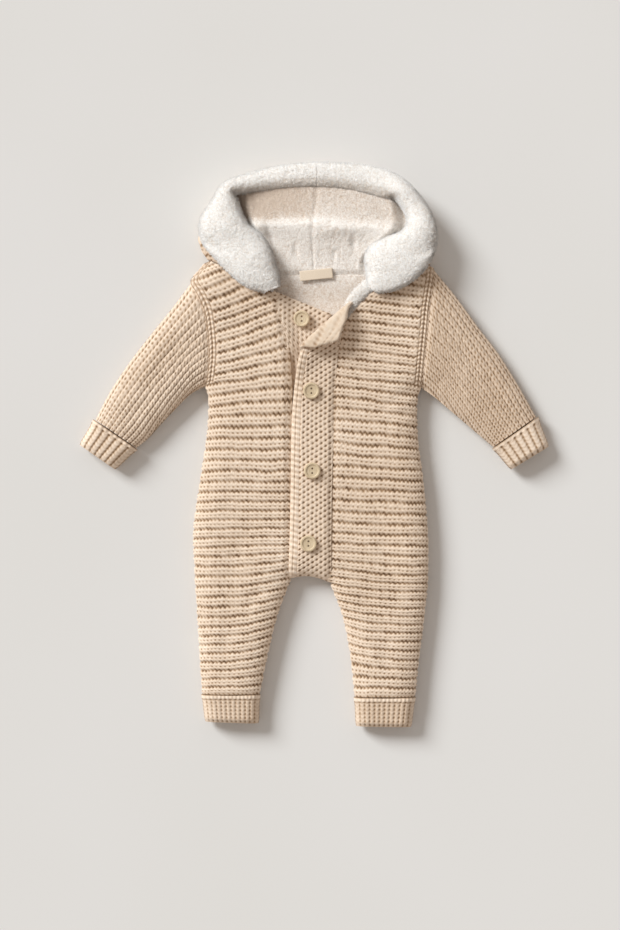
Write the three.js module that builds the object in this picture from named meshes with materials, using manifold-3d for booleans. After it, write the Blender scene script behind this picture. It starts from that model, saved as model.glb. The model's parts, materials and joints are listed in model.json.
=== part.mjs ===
// A hooded, chunky-knit baby romper with a fleece lining, laid flat on its back.
// Millimetres, +Z up, +Y towards the hood. Each sewn piece is a closed solid of its own.
import * as THREE from 'three';
import { mergeVertices } from 'three/addons/utils/BufferGeometryUtils.js';
import Module from 'manifold-3d';

const wasm = await Module();
wasm.setup();

const { lerp, smoothstep } = THREE.MathUtils;

// Driving sizes
const SEAM_GAP = 0.3; // between two pieces at a seam
const BAND_GAP = 0.6; // between a band and the front beside it, whose edge is curved
const SEAM_HEIGHT = 11.2; // where the front meets the back at the side seams
const BODY_TOP = 23.2; // mean height of the front knit above the floor
const SLEEVE_TOP = 20; // the same at the sleeve's end
const SLEEVE_SEAM = 9.8; // height of the sleeve's folded edge at its end
const EDGE_ROLL = 27; // width over which the cloth rounds down to its edge
const EDGE_LIP = 1.5; // wall left at the edge of a panel
const HALF_HOLLOW = 1.5; // half of the flat space between front and back
const INNER_INSET = 0.012; // the inner face ends this share of the width inside the outer face
const RIDGE_LIFT = 1.2; // a garter ridge above, and its groove below, the mean height
const RIB_LIFT = 0.9; // the same for the ribs of the sleeves
const CUFF_RIB_LIFT = 0.8;
const SEAM_DIP = 1.8; // how deep a seam pulls the knit in
const SEAM_DIP_WIDTH = 8;
const RIDGES = 44; // garter ridges from the shoulder to the leg's end
const LAST_BODY_RIDGE = 32; // the ridge level with the crotch
const NECK_DROP = 11.6; // how far the back's neck edge hangs below its shoulders
const FIRST_SIDE_RIDGE = 12; // the ridge level with the underarm
const SLEEVE_RIBS = 11;
const CUFF_RIBS = 8;

// Ridges of the left front: its end at the side or armhole, its end at the band or inner leg.
// A bend over 1 keeps the ridge level near the side and curls it up towards the inner leg.
const LEFT_FRONT = [
  { ridge: 0, sideX: -120, sideY: 199, innerX: -113, innerY: 202, bend: 1 },
  { ridge: 1, sideX: -126, sideY: 192, innerX: -107, innerY: 199, bend: 1 },
  { ridge: 2, sideX: -135, sideY: 179, innerX: -95, innerY: 194, bend: 1 },
  { ridge: 3, sideX: -129, sideY: 167, innerX: -78, innerY: 187, bend: 1 },
  { ridge: 4, sideX: -123, sideY: 155, innerX: -61, innerY: 179, bend: 1 },
  { ridge: 5, sideX: -119, sideY: 143, innerX: -43, innerY: 170, bend: 1 },
  { ridge: 7, sideX: -116, sideY: 120, innerX: -37, innerY: 148, bend: 1 },
  { ridge: 9, sideX: -115, sideY: 97, innerX: -32, innerY: 123, bend: 1 },
  { ridge: 11, sideX: -117, sideY: 75, innerX: -28, innerY: 94, bend: 1 },
  { ridge: 12, sideX: -118, sideY: 66, innerX: -27, innerY: 79, bend: 1 },
  { ridge: 13, sideX: -115, sideY: 54, innerX: -26, innerY: 65, bend: 1 },
  { ridge: 15, sideX: -115, sideY: 31, innerX: -26, innerY: 36, bend: 1 },
  { ridge: 17, sideX: -117, sideY: 8, innerX: -26, innerY: 9, bend: 1 },
  { ridge: 21, sideX: -124, sideY: -39, innerX: -26, innerY: -39, bend: 1 },
  { ridge: 26, sideX: -131, sideY: -91, innerX: -26, innerY: -89, bend: 1.3 },
  { ridge: 30, sideX: -130, sideY: -131, innerX: -26, innerY: -125, bend: 2 },
  { ridge: 32, sideX: -129, sideY: -154, innerX: -26, innerY: -145, bend: 2.5 },
  { ridge: 33, sideX: -128, sideY: -165, innerX: -30, innerY: -155, bend: 2.7 },
  { ridge: 36, sideX: -126, sideY: -197, innerX: -41, innerY: -186, bend: 3 },
  { ridge: 40, sideX: -124, sideY: -235, innerX: -51, innerY: -227, bend: 3 },
  { ridge: 43, sideX: -122, sideY: -263, innerX: -58, innerY: -260, bend: 2 },
  { ridge: 44, sideX: -122, sideY: -271, innerX: -60, innerY: -271, bend: 1 },
];

// Ridges of the right front, in the same terms.
const RIGHT_FRONT = [
  { ridge: 0, sideX: 131, sideY: 194, innerX: 125, innerY: 197, bend: 1 },
  { ridge: 1, sideX: 130.5, sideY: 184, innerX: 106, innerY: 188, bend: 1 },
  { ridge: 2, sideX: 129, sideY: 173, innerX: 84, innerY: 179, bend: 1 },
  { ridge: 3, sideX: 127.5, sideY: 161, innerX: 63, innerY: 169, bend: 1 },
  { ridge: 4, sideX: 126, sideY: 150, innerX: 49, innerY: 158, bend: 1 },
  { ridge: 5, sideX: 125, sideY: 139, innerX: 39, innerY: 147, bend: 1 },
  { ridge: 7, sideX: 123, sideY: 117, innerX: 32, innerY: 126, bend: 1 },
  { ridge: 9, sideX: 121, sideY: 96, innerX: 27, innerY: 106, bend: 1 },
  { ridge: 11, sideX: 119, sideY: 76, innerX: 25, innerY: 86, bend: 1 },
  { ridge: 12, sideX: 117, sideY: 65, innerX: 24, innerY: 76, bend: 1 },
  { ridge: 13, sideX: 113, sideY: 55, innerX: 23.5, innerY: 65, bend: 1 },
  { ridge: 15, sideX: 112, sideY: 32, innerX: 23, innerY: 42, bend: 1 },
  { ridge: 17, sideX: 113, sideY: 8, innerX: 22, innerY: 17, bend: 1 },
  { ridge: 21, sideX: 119, sideY: -39, innerX: 20, innerY: -33, bend: 1.2 },
  { ridge: 26, sideX: 124, sideY: -98, innerX: 19, innerY: -94, bend: 1.5 },
  { ridge: 30, sideX: 124, sideY: -141, innerX: 19, innerY: -133, bend: 2 },
  { ridge: 32, sideX: 123, sideY: -159, innerX: 19, innerY: -150, bend: 2.5 },
  { ridge: 33, sideX: 122, sideY: -168, innerX: 22, innerY: -159, bend: 2.7 },
  { ridge: 36, sideX: 119, sideY: -195, innerX: 32, innerY: -186, bend: 3 },
  { ridge: 40, sideX: 114, sideY: -233, innerX: 40, innerY: -226, bend: 3 },
  { ridge: 43, sideX: 111, sideY: -264, innerX: 44, innerY: -262, bend: 2 },
  { ridge: 44, sideX: 110, sideY: -274, innerX: 45, innerY: -274, bend: 1 },
];

// Sections of the sleeves, from the armhole to the cuff: upper edge and underarm edge.
const LEFT_SLEEVE = [
  { place: 0, upX: -135.6, upY: 179, lowX: -118.6, lowY: 66 },
  { place: 0.2, upX: -157, upY: 150, lowX: -136, lowY: 57 },
  { place: 0.4, upX: -180, upY: 121, lowX: -151, lowY: 42 },
  { place: 0.6, upX: -202, upY: 92, lowX: -166, lowY: 26 },
  { place: 0.8, upX: -223, upY: 60, lowX: -180, lowY: 10 },
  { place: 1, upX: -239, upY: 29, lowX: -194, lowY: -2 },
];
const RIGHT_SLEEVE = [
  { place: 0, upX: 131.6, upY: 194, lowX: 117.6, lowY: 65 },
  { place: 0.2, upX: 156, upY: 164, lowX: 135, lowY: 52 },
  { place: 0.4, upX: 179, upY: 132, lowX: 150, lowY: 39 },
  { place: 0.6, upX: 203, upY: 100, lowX: 165, lowY: 26 },
  { place: 0.8, upX: 224, upY: 66, lowX: 181, lowY: 12 },
  { place: 1, upX: 243, upY: 32, lowX: 196, lowY: -1 },
];

// Cuffs: the corners of the border that joins the limb, and those of the open end.
// rise is how far the turned-back lip stands above the limb, and side how far it stands out.
const CUFFS = {
  left_sleeve_cuff: {
    border: [[-241, 29], [-193.5, -3.5]], end: [[-257, 2], [-217, -26]], top: 20.5, rise: 2, side: 1.5,
  },
  right_sleeve_cuff: {
    border: [[245, 32], [195.5, -2.5]], end: [[257.5, 0], [215, -26]], top: 20.5, rise: 2, side: 1.5,
  },
  left_leg_cuff: {
    border: [[-123, -271.5], [-59, -271.5]], end: [[-119, -301], [-61, -303]], top: 21.5, rise: 3, side: 1,
  },
  right_leg_cuff: {
    border: [[111, -274.5], [44, -274.5]], end: [[105, -307], [47, -306]], top: 21.5, rise: 3, side: 1,
  },
};

// The button stand, by the ridges of the left front that it is sewn to: its free edge.
const STAND_TOP = 17.6;
const BUTTON_STAND = [
  { ridge: 5, freeX: 19, freeY: 144 },
  { ridge: 7, freeX: 21, freeY: 124 },
  { ridge: 9, freeX: 21, freeY: 103 },
  { ridge: 12, freeX: 20, freeY: 74 },
  { ridge: 15, freeX: 18, freeY: 36 },
  { ridge: 20, freeX: 16, freeY: -28 },
  { ridge: 30, freeX: 14, freeY: -128 },
];

// The buttonhole band before its corner is folded back, by the ridges of the right front
// that it is sewn to: its free selvage edge.
const BAND_TOP = 25;
const BAND_WALL = 7;
const LAPEL_WALL = 5;
const BUTTONHOLE_BAND = [
  { ridge: 3.5, freeX: 1, freeY: 142 },
  { ridge: 6, freeX: -6, freeY: 124 },
  { ridge: 9.3, freeX: -15, freeY: 102 },
  { ridge: 12, freeX: -20, freeY: 76 },
  { ridge: 15, freeX: -23.8, freeY: 38 },
  { ridge: 18, freeX: -25, freeY: 0 },
  { ridge: 21, freeX: -25, freeY: -35 },
  { ridge: 26, freeX: -25, freeY: -92 },
  { ridge: 32, freeX: -25, freeY: -145 },
];

// The lapel's fold line: where it leaves the selvage, its angle to +X, and how the flap stands.
const FOLD_ANGLE = THREE.MathUtils.degToRad(41.5);
const FOLD = {
  x: -15, y: 102, outX: -Math.sin(FOLD_ANGLE), outY: Math.cos(FOLD_ANGLE), radius: 3.4, width: 7, lift: 0.17,
};
const FLAP_HOLLOW = 4; // how far the neck edge of the band dips between its corners

// Rows of the hood lining, from the crown to the neck: left edge, centre seam, right edge.
// A bow curves a row up between its edge and the seam, as the crown is round.
// The pocket of the crown lies low, and the fold across the hood stands up in rows 4 and 5.
const HOOD_ROWS = [
  { row: 0, leftX: -88, leftY: 279, midX: 3, midY: 295, rightX: 94, rightY: 273, height: 12.5, bow: 6 },
  { row: 1, leftX: -91, leftY: 272, midX: 3, midY: 285, rightX: 101, rightY: 263, height: 14, bow: 4 },
  { row: 2, leftX: -88, leftY: 263, midX: 2, midY: 271, rightX: 104, rightY: 254, height: 15, bow: 2 },
  { row: 3, leftX: -83, leftY: 251, midX: 0, midY: 252, rightX: 106, rightY: 246, height: 19, bow: 0 },
  { row: 4, leftX: -80, leftY: 245, midX: -1, midY: 246, rightX: 105, rightY: 240, height: 26, bow: 0 },
  { row: 5, leftX: -76, leftY: 238, midX: -2, midY: 239, rightX: 101, rightY: 232, height: 27, bow: 0 },
  { row: 6, leftX: -62, leftY: 226, midX: -2, midY: 222, rightX: 82, rightY: 221, height: 22, bow: 0 },
  { row: 7, leftX: -53, leftY: 207, midX: -1, midY: 204, rightX: 62, rightY: 205, height: 18, bow: 0 },
  { row: 8, leftX: -47, leftY: 188, midX: 0, midY: 187.5, rightX: 61, rightY: 188, height: 16, bow: 0 },
];
const LINING_FLOOR = 9.9;
const LINING_EDGE = 13.2;

// The brim's rolls, from the centre seam of the crown to the neck: outer edge, inner edge, crest height.
const LEFT_BRIM = [
  { place: 0, outX: 3, outY: 308, inX: 3, inY: 291, crest: 33 },
  { place: 1, outX: -26, outY: 305.5, inX: -26, inY: 290, crest: 34 },
  { place: 2, outX: -57, outY: 300, inX: -53, inY: 287, crest: 35 },
  { place: 3, outX: -83, outY: 292, inX: -78, inY: 280, crest: 36 },
  { place: 4, outX: -99, outY: 284, inX: -86, inY: 274, crest: 37 },
  { place: 5, outX: -111, outY: 266, inX: -83, inY: 264, crest: 39 },
  { place: 6, outX: -122, outY: 248, inX: -78, inY: 251, crest: 41 },
  { place: 7, outX: -124, outY: 231, inX: -71, inY: 239, crest: 42 },
  { place: 8, outX: -117, outY: 216, inX: -57, inY: 228, crest: 42 },
  { place: 9, outX: -104, outY: 201, inX: -48, inY: 214, crest: 42 },
  { place: 10, outX: -88, outY: 185, inX: -43, inY: 198, crest: 41 },
  { place: 11, outX: -72, outY: 173, inX: -39, inY: 184, crest: 39 },
  { place: 12, outX: -53, outY: 167, inX: -38, inY: 173, crest: 34 },
];
const RIGHT_BRIM = [
  { place: 0, outX: 3.3, outY: 308, inX: 3.3, inY: 291, crest: 33 },
  { place: 1, outX: 34, outY: 307, inX: 33, inY: 289, crest: 34 },
  { place: 2, outX: 61, outY: 304, inX: 58, inY: 285, crest: 35 },
  { place: 3, outX: 84, outY: 297, inX: 76, inY: 280, crest: 36 },
  { place: 4, outX: 103, outY: 284, inX: 88, inY: 270, crest: 37 },
  { place: 5, outX: 118, outY: 267, inX: 98, inY: 257, crest: 38 },
  { place: 6, outX: 129, outY: 248, inX: 102, inY: 246, crest: 39 },
  { place: 7, outX: 133, outY: 230, inX: 97, inY: 234, crest: 40 },
  { place: 8, outX: 131, outY: 213, inX: 79, inY: 226, crest: 41 },
  { place: 9, outX: 122, outY: 195, inX: 61, inY: 217, crest: 41 },
  { place: 10, outX: 107, outY: 180, inX: 56, inY: 203, crest: 40 },
  { place: 11, outX: 88, outY: 170, inX: 58, inY: 189, crest: 38 },
  { place: 12, outX: 68, outY: 166, inX: 59, inY: 173, crest: 34 },
];
const BRIM_UNDER_LINING = 15.2; // the brim's underside over the edge of the lining
const BRIM_OVER_FRONT = 26; // the brim's underside where its lower lobes lie on the fronts

// The outside of the hood on the floor, from left to right: neck seam and outline.
const HOOD_OUTSIDE = [
  { place: 0, neckX: -117, neckY: 205, rimX: -122, rimY: 212 },
  { place: 0.08, neckX: -100, neckY: 198.5, rimX: -126, rimY: 228 },
  { place: 0.18, neckX: -78, neckY: 193.8, rimX: -119, rimY: 252 },
  { place: 0.3, neckX: -50, neckY: 189.4, rimX: -92, rimY: 284 },
  { place: 0.42, neckX: -20, neckY: 186.8, rimX: -46, rimY: 299 },
  { place: 0.55, neckX: 12, neckY: 186.4, rimX: 14, rimY: 304 },
  { place: 0.68, neckX: 44, neckY: 188.3, rimX: 70, rimY: 297 },
  { place: 0.8, neckX: 76, neckY: 191, rimX: 108, rimY: 272 },
  { place: 0.9, neckX: 102, neckY: 194.3, rimX: 127, rimY: 238 },
  { place: 1, neckX: 127, neckY: 198.5, rimX: 130, rimY: 208 },
];
const HOOD_WALL = 9.4;

// The fleece that shows in the neck opening, from left to right: neck seam and tucked edge.
const NECK_LINING = [
  { place: 0, topX: -48, topY: 187, lowX: -46, lowY: 164 },
  { place: 0.35, topX: -10, topY: 186.6, lowX: -14, lowY: 148 },
  { place: 0.65, topX: 22, topY: 186.6, lowX: 20, lowY: 132 },
  { place: 1, topX: 62, topY: 187, lowX: 60, lowY: 162 },
];

const LABEL = { x: 2.5, y: 187, width: 36, height: 11, thickness: 0.8, turn: 0.1 };

// Buttons: centre, underside height and tilt about X and Y.
const BUTTONS = [
  { name: 'button_1', x: -13, y: 139, z: 19.6, tiltX: 0.1, tiltY: -0.16 },
  { name: 'button_2', x: -3, y: 60, z: 25.7, tiltX: 0.02, tiltY: 0.03 },
  { name: 'button_3', x: -2, y: -27, z: 25.7, tiltX: -0.02, tiltY: 0.02 },
  { name: 'button_4', x: -6, y: -106, z: 25.7, tiltX: 0.02, tiltY: -0.03 },
];
const BUTTON_RADIUS = 9;
const BUTTON_PROFILE = [[0, 0], [7.4, 0], [9, 1.2], [9, 3], [8.2, 4.2], [6.9, 4.2], [5.9, 3.2], [0, 2.8]];
const BUTTON_HOLE = { radius: 1.1, offset: 2.5 };

const COLOURS = {
  knit: { color: 0xe2cdac, roughness: 0.95, metalness: 0 },
  fleece: { color: 0xf0ebe3, roughness: 1, metalness: 0 },
  label: { color: 0xeee5d4, roughness: 0.85, metalness: 0 },
  button: { color: 0xc6b28a, roughness: 0.5, metalness: 0 },
};

// Reads one column of a table at any place between its rows, on a smooth curve.
function readColumn(table, key, name, place) {
  const last = table.length - 1;
  let row = 0;
  while (row < last - 1 && place > table[row + 1][key]) row += 1;
  const slopeAt = (i) => {
    const before = table[Math.max(i - 1, 0)];
    const after = table[Math.min(i + 1, last)];
    return (after[name] - before[name]) / (after[key] - before[key]);
  };
  const from = table[row];
  const to = table[row + 1];
  const span = to[key] - from[key];
  const t = THREE.MathUtils.clamp((place - from[key]) / span, 0, 1);
  const settle = t * t * (3 - 2 * t);
  const leave = t * (1 - t) * (1 - t) * span * slopeAt(row);
  const arrive = t * t * (t - 1) * span * slopeAt(row + 1);
  return lerp(from[name], to[name], settle) + leave + arrive;
}

function readPoint(table, key, nameX, nameY, place) {
  return [readColumn(table, key, nameX, place), readColumn(table, key, nameY, place)];
}

const between = (a, b, t) => [lerp(a[0], b[0], t), lerp(a[1], b[1], t)];

// Evenly spaced values from 0 to 1, and values that crowd towards both ends.
const even = (count) => Array.from({ length: count + 1 }, (_, i) => i / count);
const crowded = (count) => even(count).map((t) => lerp(t, (1 - Math.cos(Math.PI * t)) / 2, 0.8));

// Ends of one garter ridge, and a point on it.
const sideEnd = (table, ridge) => readPoint(table, 'ridge', 'sideX', 'sideY', ridge);
const innerEnd = (table, ridge) => readPoint(table, 'ridge', 'innerX', 'innerY', ridge);

function onRidge(table, ridge, across) {
  const side = sideEnd(table, ridge);
  const inner = innerEnd(table, ridge);
  const bend = Math.max(readColumn(table, 'ridge', 'bend', ridge), 1);
  return [lerp(side[0], inner[0], across), lerp(side[1], inner[1], across ** bend)];
}

// The arch of the crotch between the two inner legs.
function crotchPoint(across) {
  const left = innerEnd(LEFT_FRONT, LAST_BODY_RIDGE);
  const right = innerEnd(RIGHT_FRONT, LAST_BODY_RIDGE);
  const [x, y] = between(left, right, across);
  return [x, y + 5 * Math.sin(Math.PI * across)];
}

// Stretches of the garment's outline, each run with the garment on its left hand.
const sleeveEdge = (table, name) => (t) => readPoint(table, 'place', `${name}X`, `${name}Y`, t);
const along = (curve, from, to, count) => even(count).map((t) => curve(lerp(from, to, t)));
const OUTLINE = [
  [
    ...along((ridge) => sideEnd(LEFT_FRONT, ridge), 0, 2, 4),
    ...along(sleeveEdge(LEFT_SLEEVE, 'up'), 0.05, 1, 16),
  ],
  [
    ...along(sleeveEdge(LEFT_SLEEVE, 'low'), 1, 0.05, 12),
    ...along((ridge) => sideEnd(LEFT_FRONT, ridge), FIRST_SIDE_RIDGE, RIDGES, 40),
  ],
  [
    ...along((ridge) => innerEnd(LEFT_FRONT, ridge), RIDGES, LAST_BODY_RIDGE + 0.5, 16),
    ...along(crotchPoint, 0, 1, 8),
    ...along((ridge) => innerEnd(RIGHT_FRONT, ridge), LAST_BODY_RIDGE + 0.5, RIDGES, 16),
  ],
  [
    ...along((ridge) => sideEnd(RIGHT_FRONT, ridge), RIDGES, FIRST_SIDE_RIDGE, 40),
    ...along(sleeveEdge(RIGHT_SLEEVE, 'low'), 0.05, 1, 12),
  ],
  along(sleeveEdge(RIGHT_SLEEVE, 'up'), 1, 0, 16),
];

// How far a place is from the garment's outline, and which way is out.
function nearestEdge(x, y) {
  let best = { distance: Infinity, outX: 0, outY: 0 };
  for (const stretch of OUTLINE) {
    for (let i = 0; i + 1 < stretch.length; i += 1) {
      const [ax, ay] = stretch[i];
      const runX = stretch[i + 1][0] - ax;
      const runY = stretch[i + 1][1] - ay;
      const length = Math.hypot(runX, runY);
      const t = THREE.MathUtils.clamp(((x - ax) * runX + (y - ay) * runY) / (length * length), 0, 1);
      const toX = ax + t * runX - x;
      const toY = ay + t * runY - y;
      const distance = Math.hypot(toX, toY);
      if (distance < best.distance) {
        const close = distance < 1;
        best = {
          distance,
          outX: close ? runY / length : toX / distance,
          outY: close ? -runX / length : toY / distance,
        };
      }
    }
  }
  return best;
}

// How far up its arch the cloth is at a distance from its edge: 0 at the edge, 1 from the roll's width on.
function archAt(distance, roll = EDGE_ROLL) {
  const t = THREE.MathUtils.clamp(distance / roll, 0, 1);
  return Math.sqrt(1 - (1 - t) ** 2);
}

// Gentle unevenness of cloth that was patted flat by hand.
const slack = (x, y) => 0.6 * Math.sin(x / 41 + 1.3) * Math.sin(y / 57 + 0.4) + 0.4 * Math.sin((x + y) / 33);

// A point of a rounded upper face, with its knit lifted along the face's own normal.
function upperPoint([x, y], edgeHeight, top, lift, roll = EDGE_ROLL) {
  const edge = nearestEdge(x, y);
  const arch = archAt(edge.distance, roll);
  const flat = 1 - Math.min(edge.distance, roll) / roll;
  const z = edgeHeight + (top + slack(x, y) - edgeHeight) * arch;
  return [x + edge.outX * lift * flat, y + edge.outY * lift * flat, z + lift * arch];
}

// Joins two closed loops of vertices with triangles, each loop measured by its own places.
function zipLoops(faces, outer, inner, length, turned = false) {
  let i = 0;
  let j = 0;
  const placeAfter = (loop, k) => (k + 1 < loop.length ? loop[k + 1].place : length);
  while (i < outer.length || j < inner.length) {
    const a = outer[i % outer.length].index;
    const b = inner[j % inner.length].index;
    const nextOuter = i < outer.length ? placeAfter(outer, i) : Infinity;
    const nextInner = j < inner.length ? placeAfter(inner, j) : Infinity;
    const face = nextOuter <= nextInner
      ? [a, outer[(i + 1) % outer.length].index, b]
      : [a, inner[(j + 1) % inner.length].index, b];
    if (nextOuter <= nextInner) i += 1;
    else j += 1;
    faces.push(turned ? face.reverse() : face);
  }
}

// A geometry from points and faces, turned right side out if it isn't.
function geometryFrom(points, faces) {
  const signed = faces.reduce((sum, [a, b, c]) => {
    const corner = new THREE.Vector3(...points[a]);
    return sum + corner.dot(new THREE.Vector3(...points[b]).cross(new THREE.Vector3(...points[c])));
  }, 0);
  const turned = signed < 0 ? faces.map(([a, b, c]) => [a, c, b]) : faces;
  const geometry = new THREE.BufferGeometry();
  geometry.setAttribute('position', new THREE.Float32BufferAttribute(points.flat(), 3));
  geometry.setIndex(turned.flat());
  geometry.computeVertexNormals();
  return geometry;
}

const quad = (a, b, c, d) => [[a, b, c], [a, c, d]];

// A closed piece of cloth: a fine outer face, a plain inner face, and a wall all round.
function clothSolid({ outer, inner, outerAlong, outerAcross, innerAlong, innerAcross }) {
  const points = [];
  const faces = [];
  const addFace = (face, alongs, acrosses, turned) => {
    const start = points.length;
    const width = acrosses.length;
    alongs.forEach((u) => acrosses.forEach((v) => points.push(face(u, v))));
    const at = (i, j) => start + i * width + j;
    for (let i = 0; i + 1 < alongs.length; i += 1) {
      for (let j = 0; j + 1 < width; j += 1) {
        const corners = [at(i, j), at(i + 1, j), at(i + 1, j + 1), at(i, j + 1)];
        faces.push(...quad(...(turned ? corners.reverse() : corners)));
      }
    }
    const rows = alongs.length - 1;
    const columns = width - 1;
    const loop = [];
    acrosses.slice(0, -1).forEach((v, j) => loop.push({ index: at(0, j), place: v }));
    alongs.slice(0, -1).forEach((u, i) => loop.push({ index: at(i, columns), place: 1 + u }));
    for (let j = columns; j > 0; j -= 1) loop.push({ index: at(rows, j), place: 3 - acrosses[j] });
    for (let i = rows; i > 0; i -= 1) loop.push({ index: at(i, 0), place: 4 - alongs[i] });
    return loop;
  };
  const outerLoop = addFace(outer, outerAlong, outerAcross, false);
  const innerLoop = addFace(inner, innerAlong ?? outerAlong, innerAcross ?? outerAcross, true);
  zipLoops(faces, outerLoop, innerLoop, 4);
  return geometryFrom(points, faces);
}

// A closed tube with a wall: an outer skin, an inner skin, and a ring at each end.
function tubeSolid({ outer, inner, stations, outerRound, innerRound }) {
  const points = [];
  const faces = [];
  const addSkin = (skin, rounds, turned) => {
    const start = points.length;
    const count = rounds.length;
    stations.forEach((u) => rounds.forEach((w) => points.push(skin(u, w))));
    const at = (i, j) => start + i * count + (j % count);
    for (let i = 0; i + 1 < stations.length; i += 1) {
      for (let j = 0; j < count; j += 1) {
        const corners = [at(i, j), at(i + 1, j), at(i + 1, j + 1), at(i, j + 1)];
        faces.push(...quad(...(turned ? corners.reverse() : corners)));
      }
    }
    return (i) => rounds.map((w, j) => ({ index: at(i, j), place: w }));
  };
  const outerRing = addSkin(outer, outerRound, false);
  const innerRing = addSkin(inner, innerRound, true);
  zipLoops(faces, outerRing(0), innerRing(0), 1);
  zipLoops(faces, outerRing(stations.length - 1), innerRing(stations.length - 1), 1, true);
  return geometryFrom(points, faces);
}

// A closed roll: rings along a path, with a fan of faces at each end.
function rollSolid({ skin, stations, round }) {
  const points = [];
  const faces = [];
  const count = round.length;
  stations.forEach((u) => round.forEach((w) => points.push(skin(u, w))));
  const at = (i, j) => i * count + (j % count);
  for (let i = 0; i + 1 < stations.length; i += 1) {
    for (let j = 0; j < count; j += 1) faces.push(...quad(at(i, j), at(i + 1, j), at(i + 1, j + 1), at(i, j + 1)));
  }
  const cap = (i, turned) => {
    const ring = round.map((w, j) => points[at(i, j)]);
    const middle = [0, 1, 2].map((axis) => ring.reduce((sum, p) => sum + p[axis], 0) / count);
    const centre = points.push(middle) - 1;
    for (let j = 0; j < count; j += 1) {
      const face = [centre, at(i, j), at(i, j + 1)];
      faces.push(turned ? face.reverse() : face);
    }
  };
  cap(0, false);
  cap(stations.length - 1, true);
  return geometryFrom(points, faces);
}

// A front panel: garter ridges on its outer face, pulled in at the armhole and at the band.
function frontGeometry(table) {
  const edgeHeight = SEAM_HEIGHT + SEAM_GAP / 2 + EDGE_LIP;
  const outer = (u, v) => {
    const ridge = u * RIDGES;
    const place = onRidge(table, ridge, v);
    const width = Math.abs(sideEnd(table, ridge)[0] - innerEnd(table, ridge)[0]);
    const armholeSeam = ridge < FIRST_SIDE_RIDGE;
    const bandSeam = ridge <= LAST_BODY_RIDGE;
    const fromSeam = Math.min(armholeSeam ? v * width : width, bandSeam ? (1 - v) * width : width);
    const pulled = 1 - smoothstep(fromSeam, 0, SEAM_DIP_WIDTH);
    const crest = Math.round(ridge * 2) % 2 === 1 ? RIDGE_LIFT : -RIDGE_LIFT;
    const ends = Math.min(smoothstep(ridge, 0, 1), smoothstep(RIDGES - ridge, 0, 0.5));
    const lift = crest * (1 - pulled) * ends;
    return upperPoint(place, edgeHeight, BODY_TOP - SEAM_DIP * pulled, lift);
  };
  const inner = (u, v) => {
    const place = onRidge(table, u * RIDGES, v);
    const arch = archAt(nearestEdge(...place).distance);
    return [...place, SEAM_HEIGHT + SEAM_GAP / 2 + HALF_HOLLOW * arch];
  };
  return clothSolid({
    outer,
    inner: (u, v) => inner(u, lerp(INNER_INSET, 1 - INNER_INSET, v)),
    outerAlong: even(RIDGES * 2),
    outerAcross: crowded(9),
    innerAlong: even(30),
    innerAcross: crowded(4),
  });
}

// The back: one piece from the neck down, parted at the crotch into two legs.
function backGeometry() {
  const bodyRidges = [0, 1, 2, 3, 4, 5, 6, 7, 8, 9, 10, 11, 12, 14, 16.5, 19, 21.5, 24, 26, 28, 30, LAST_BODY_RIDGE];
  const legRidges = [34, 36, 38, 40, 42, RIDGES];
  const legColumns = crowded(6);
  const legWidth = legColumns.length - 1;
  const crotchWidth = 3;
  const bodyWidth = legWidth * 2 + crotchWidth;
  const lowPlace = (j) => {
    if (j <= legWidth) return onRidge(LEFT_FRONT, LAST_BODY_RIDGE, legColumns[j]);
    if (j >= legWidth + crotchWidth) return onRidge(RIGHT_FRONT, LAST_BODY_RIDGE, legColumns[bodyWidth - j]);
    return crotchPoint((j - legWidth) / crotchWidth);
  };
  const lowLeft = sideEnd(LEFT_FRONT, LAST_BODY_RIDGE);
  const lowRight = sideEnd(RIGHT_FRONT, LAST_BODY_RIDGE);
  // A row is level at the waist, follows the crotch below it, and the round neck above it.
  const bodyPlace = (ridge, j) => {
    const low = lowPlace(j);
    const across = (low[0] - lowLeft[0]) / (lowRight[0] - lowLeft[0]);
    const [x, y] = between(sideEnd(LEFT_FRONT, ridge), sideEnd(RIGHT_FRONT, ridge), across);
    const crotchRise = (low[1] - lerp(lowLeft[1], lowRight[1], across)) * smoothstep(ridge, 22, LAST_BODY_RIDGE);
    const neckDrop = NECK_DROP * Math.sin(Math.PI * across) ** 0.8 * (1 - smoothstep(ridge, 0, 5));
    return [x, y + crotchRise - neckDrop];
  };
  const places = [];
  const add = (place) => places.push(place) - 1;
  const columns = Array.from({ length: bodyWidth + 1 }, (_, j) => j);
  const body = bodyRidges.map((ridge) => columns.map((j) => add(bodyPlace(ridge, j))));
  const leftLeg = [body.at(-1).slice(0, legWidth + 1)];
  const rightLeg = [body.at(-1).slice(legWidth + crotchWidth)];
  for (const ridge of legRidges) {
    leftLeg.push(legColumns.map((v) => add(onRidge(LEFT_FRONT, ridge, v))));
    rightLeg.push(legColumns.toReversed().map((v) => add(onRidge(RIGHT_FRONT, ridge, v))));
  }
  const cells = [body, leftLeg, rightLeg].flatMap((rows) => rows.slice(1).flatMap((row, i) => (
    row.slice(1).map((_, j) => [rows[i][j], row[j], row[j + 1], rows[i][j + 1]])
  )));
  return plateGeometry(places, cells);
}

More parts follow.
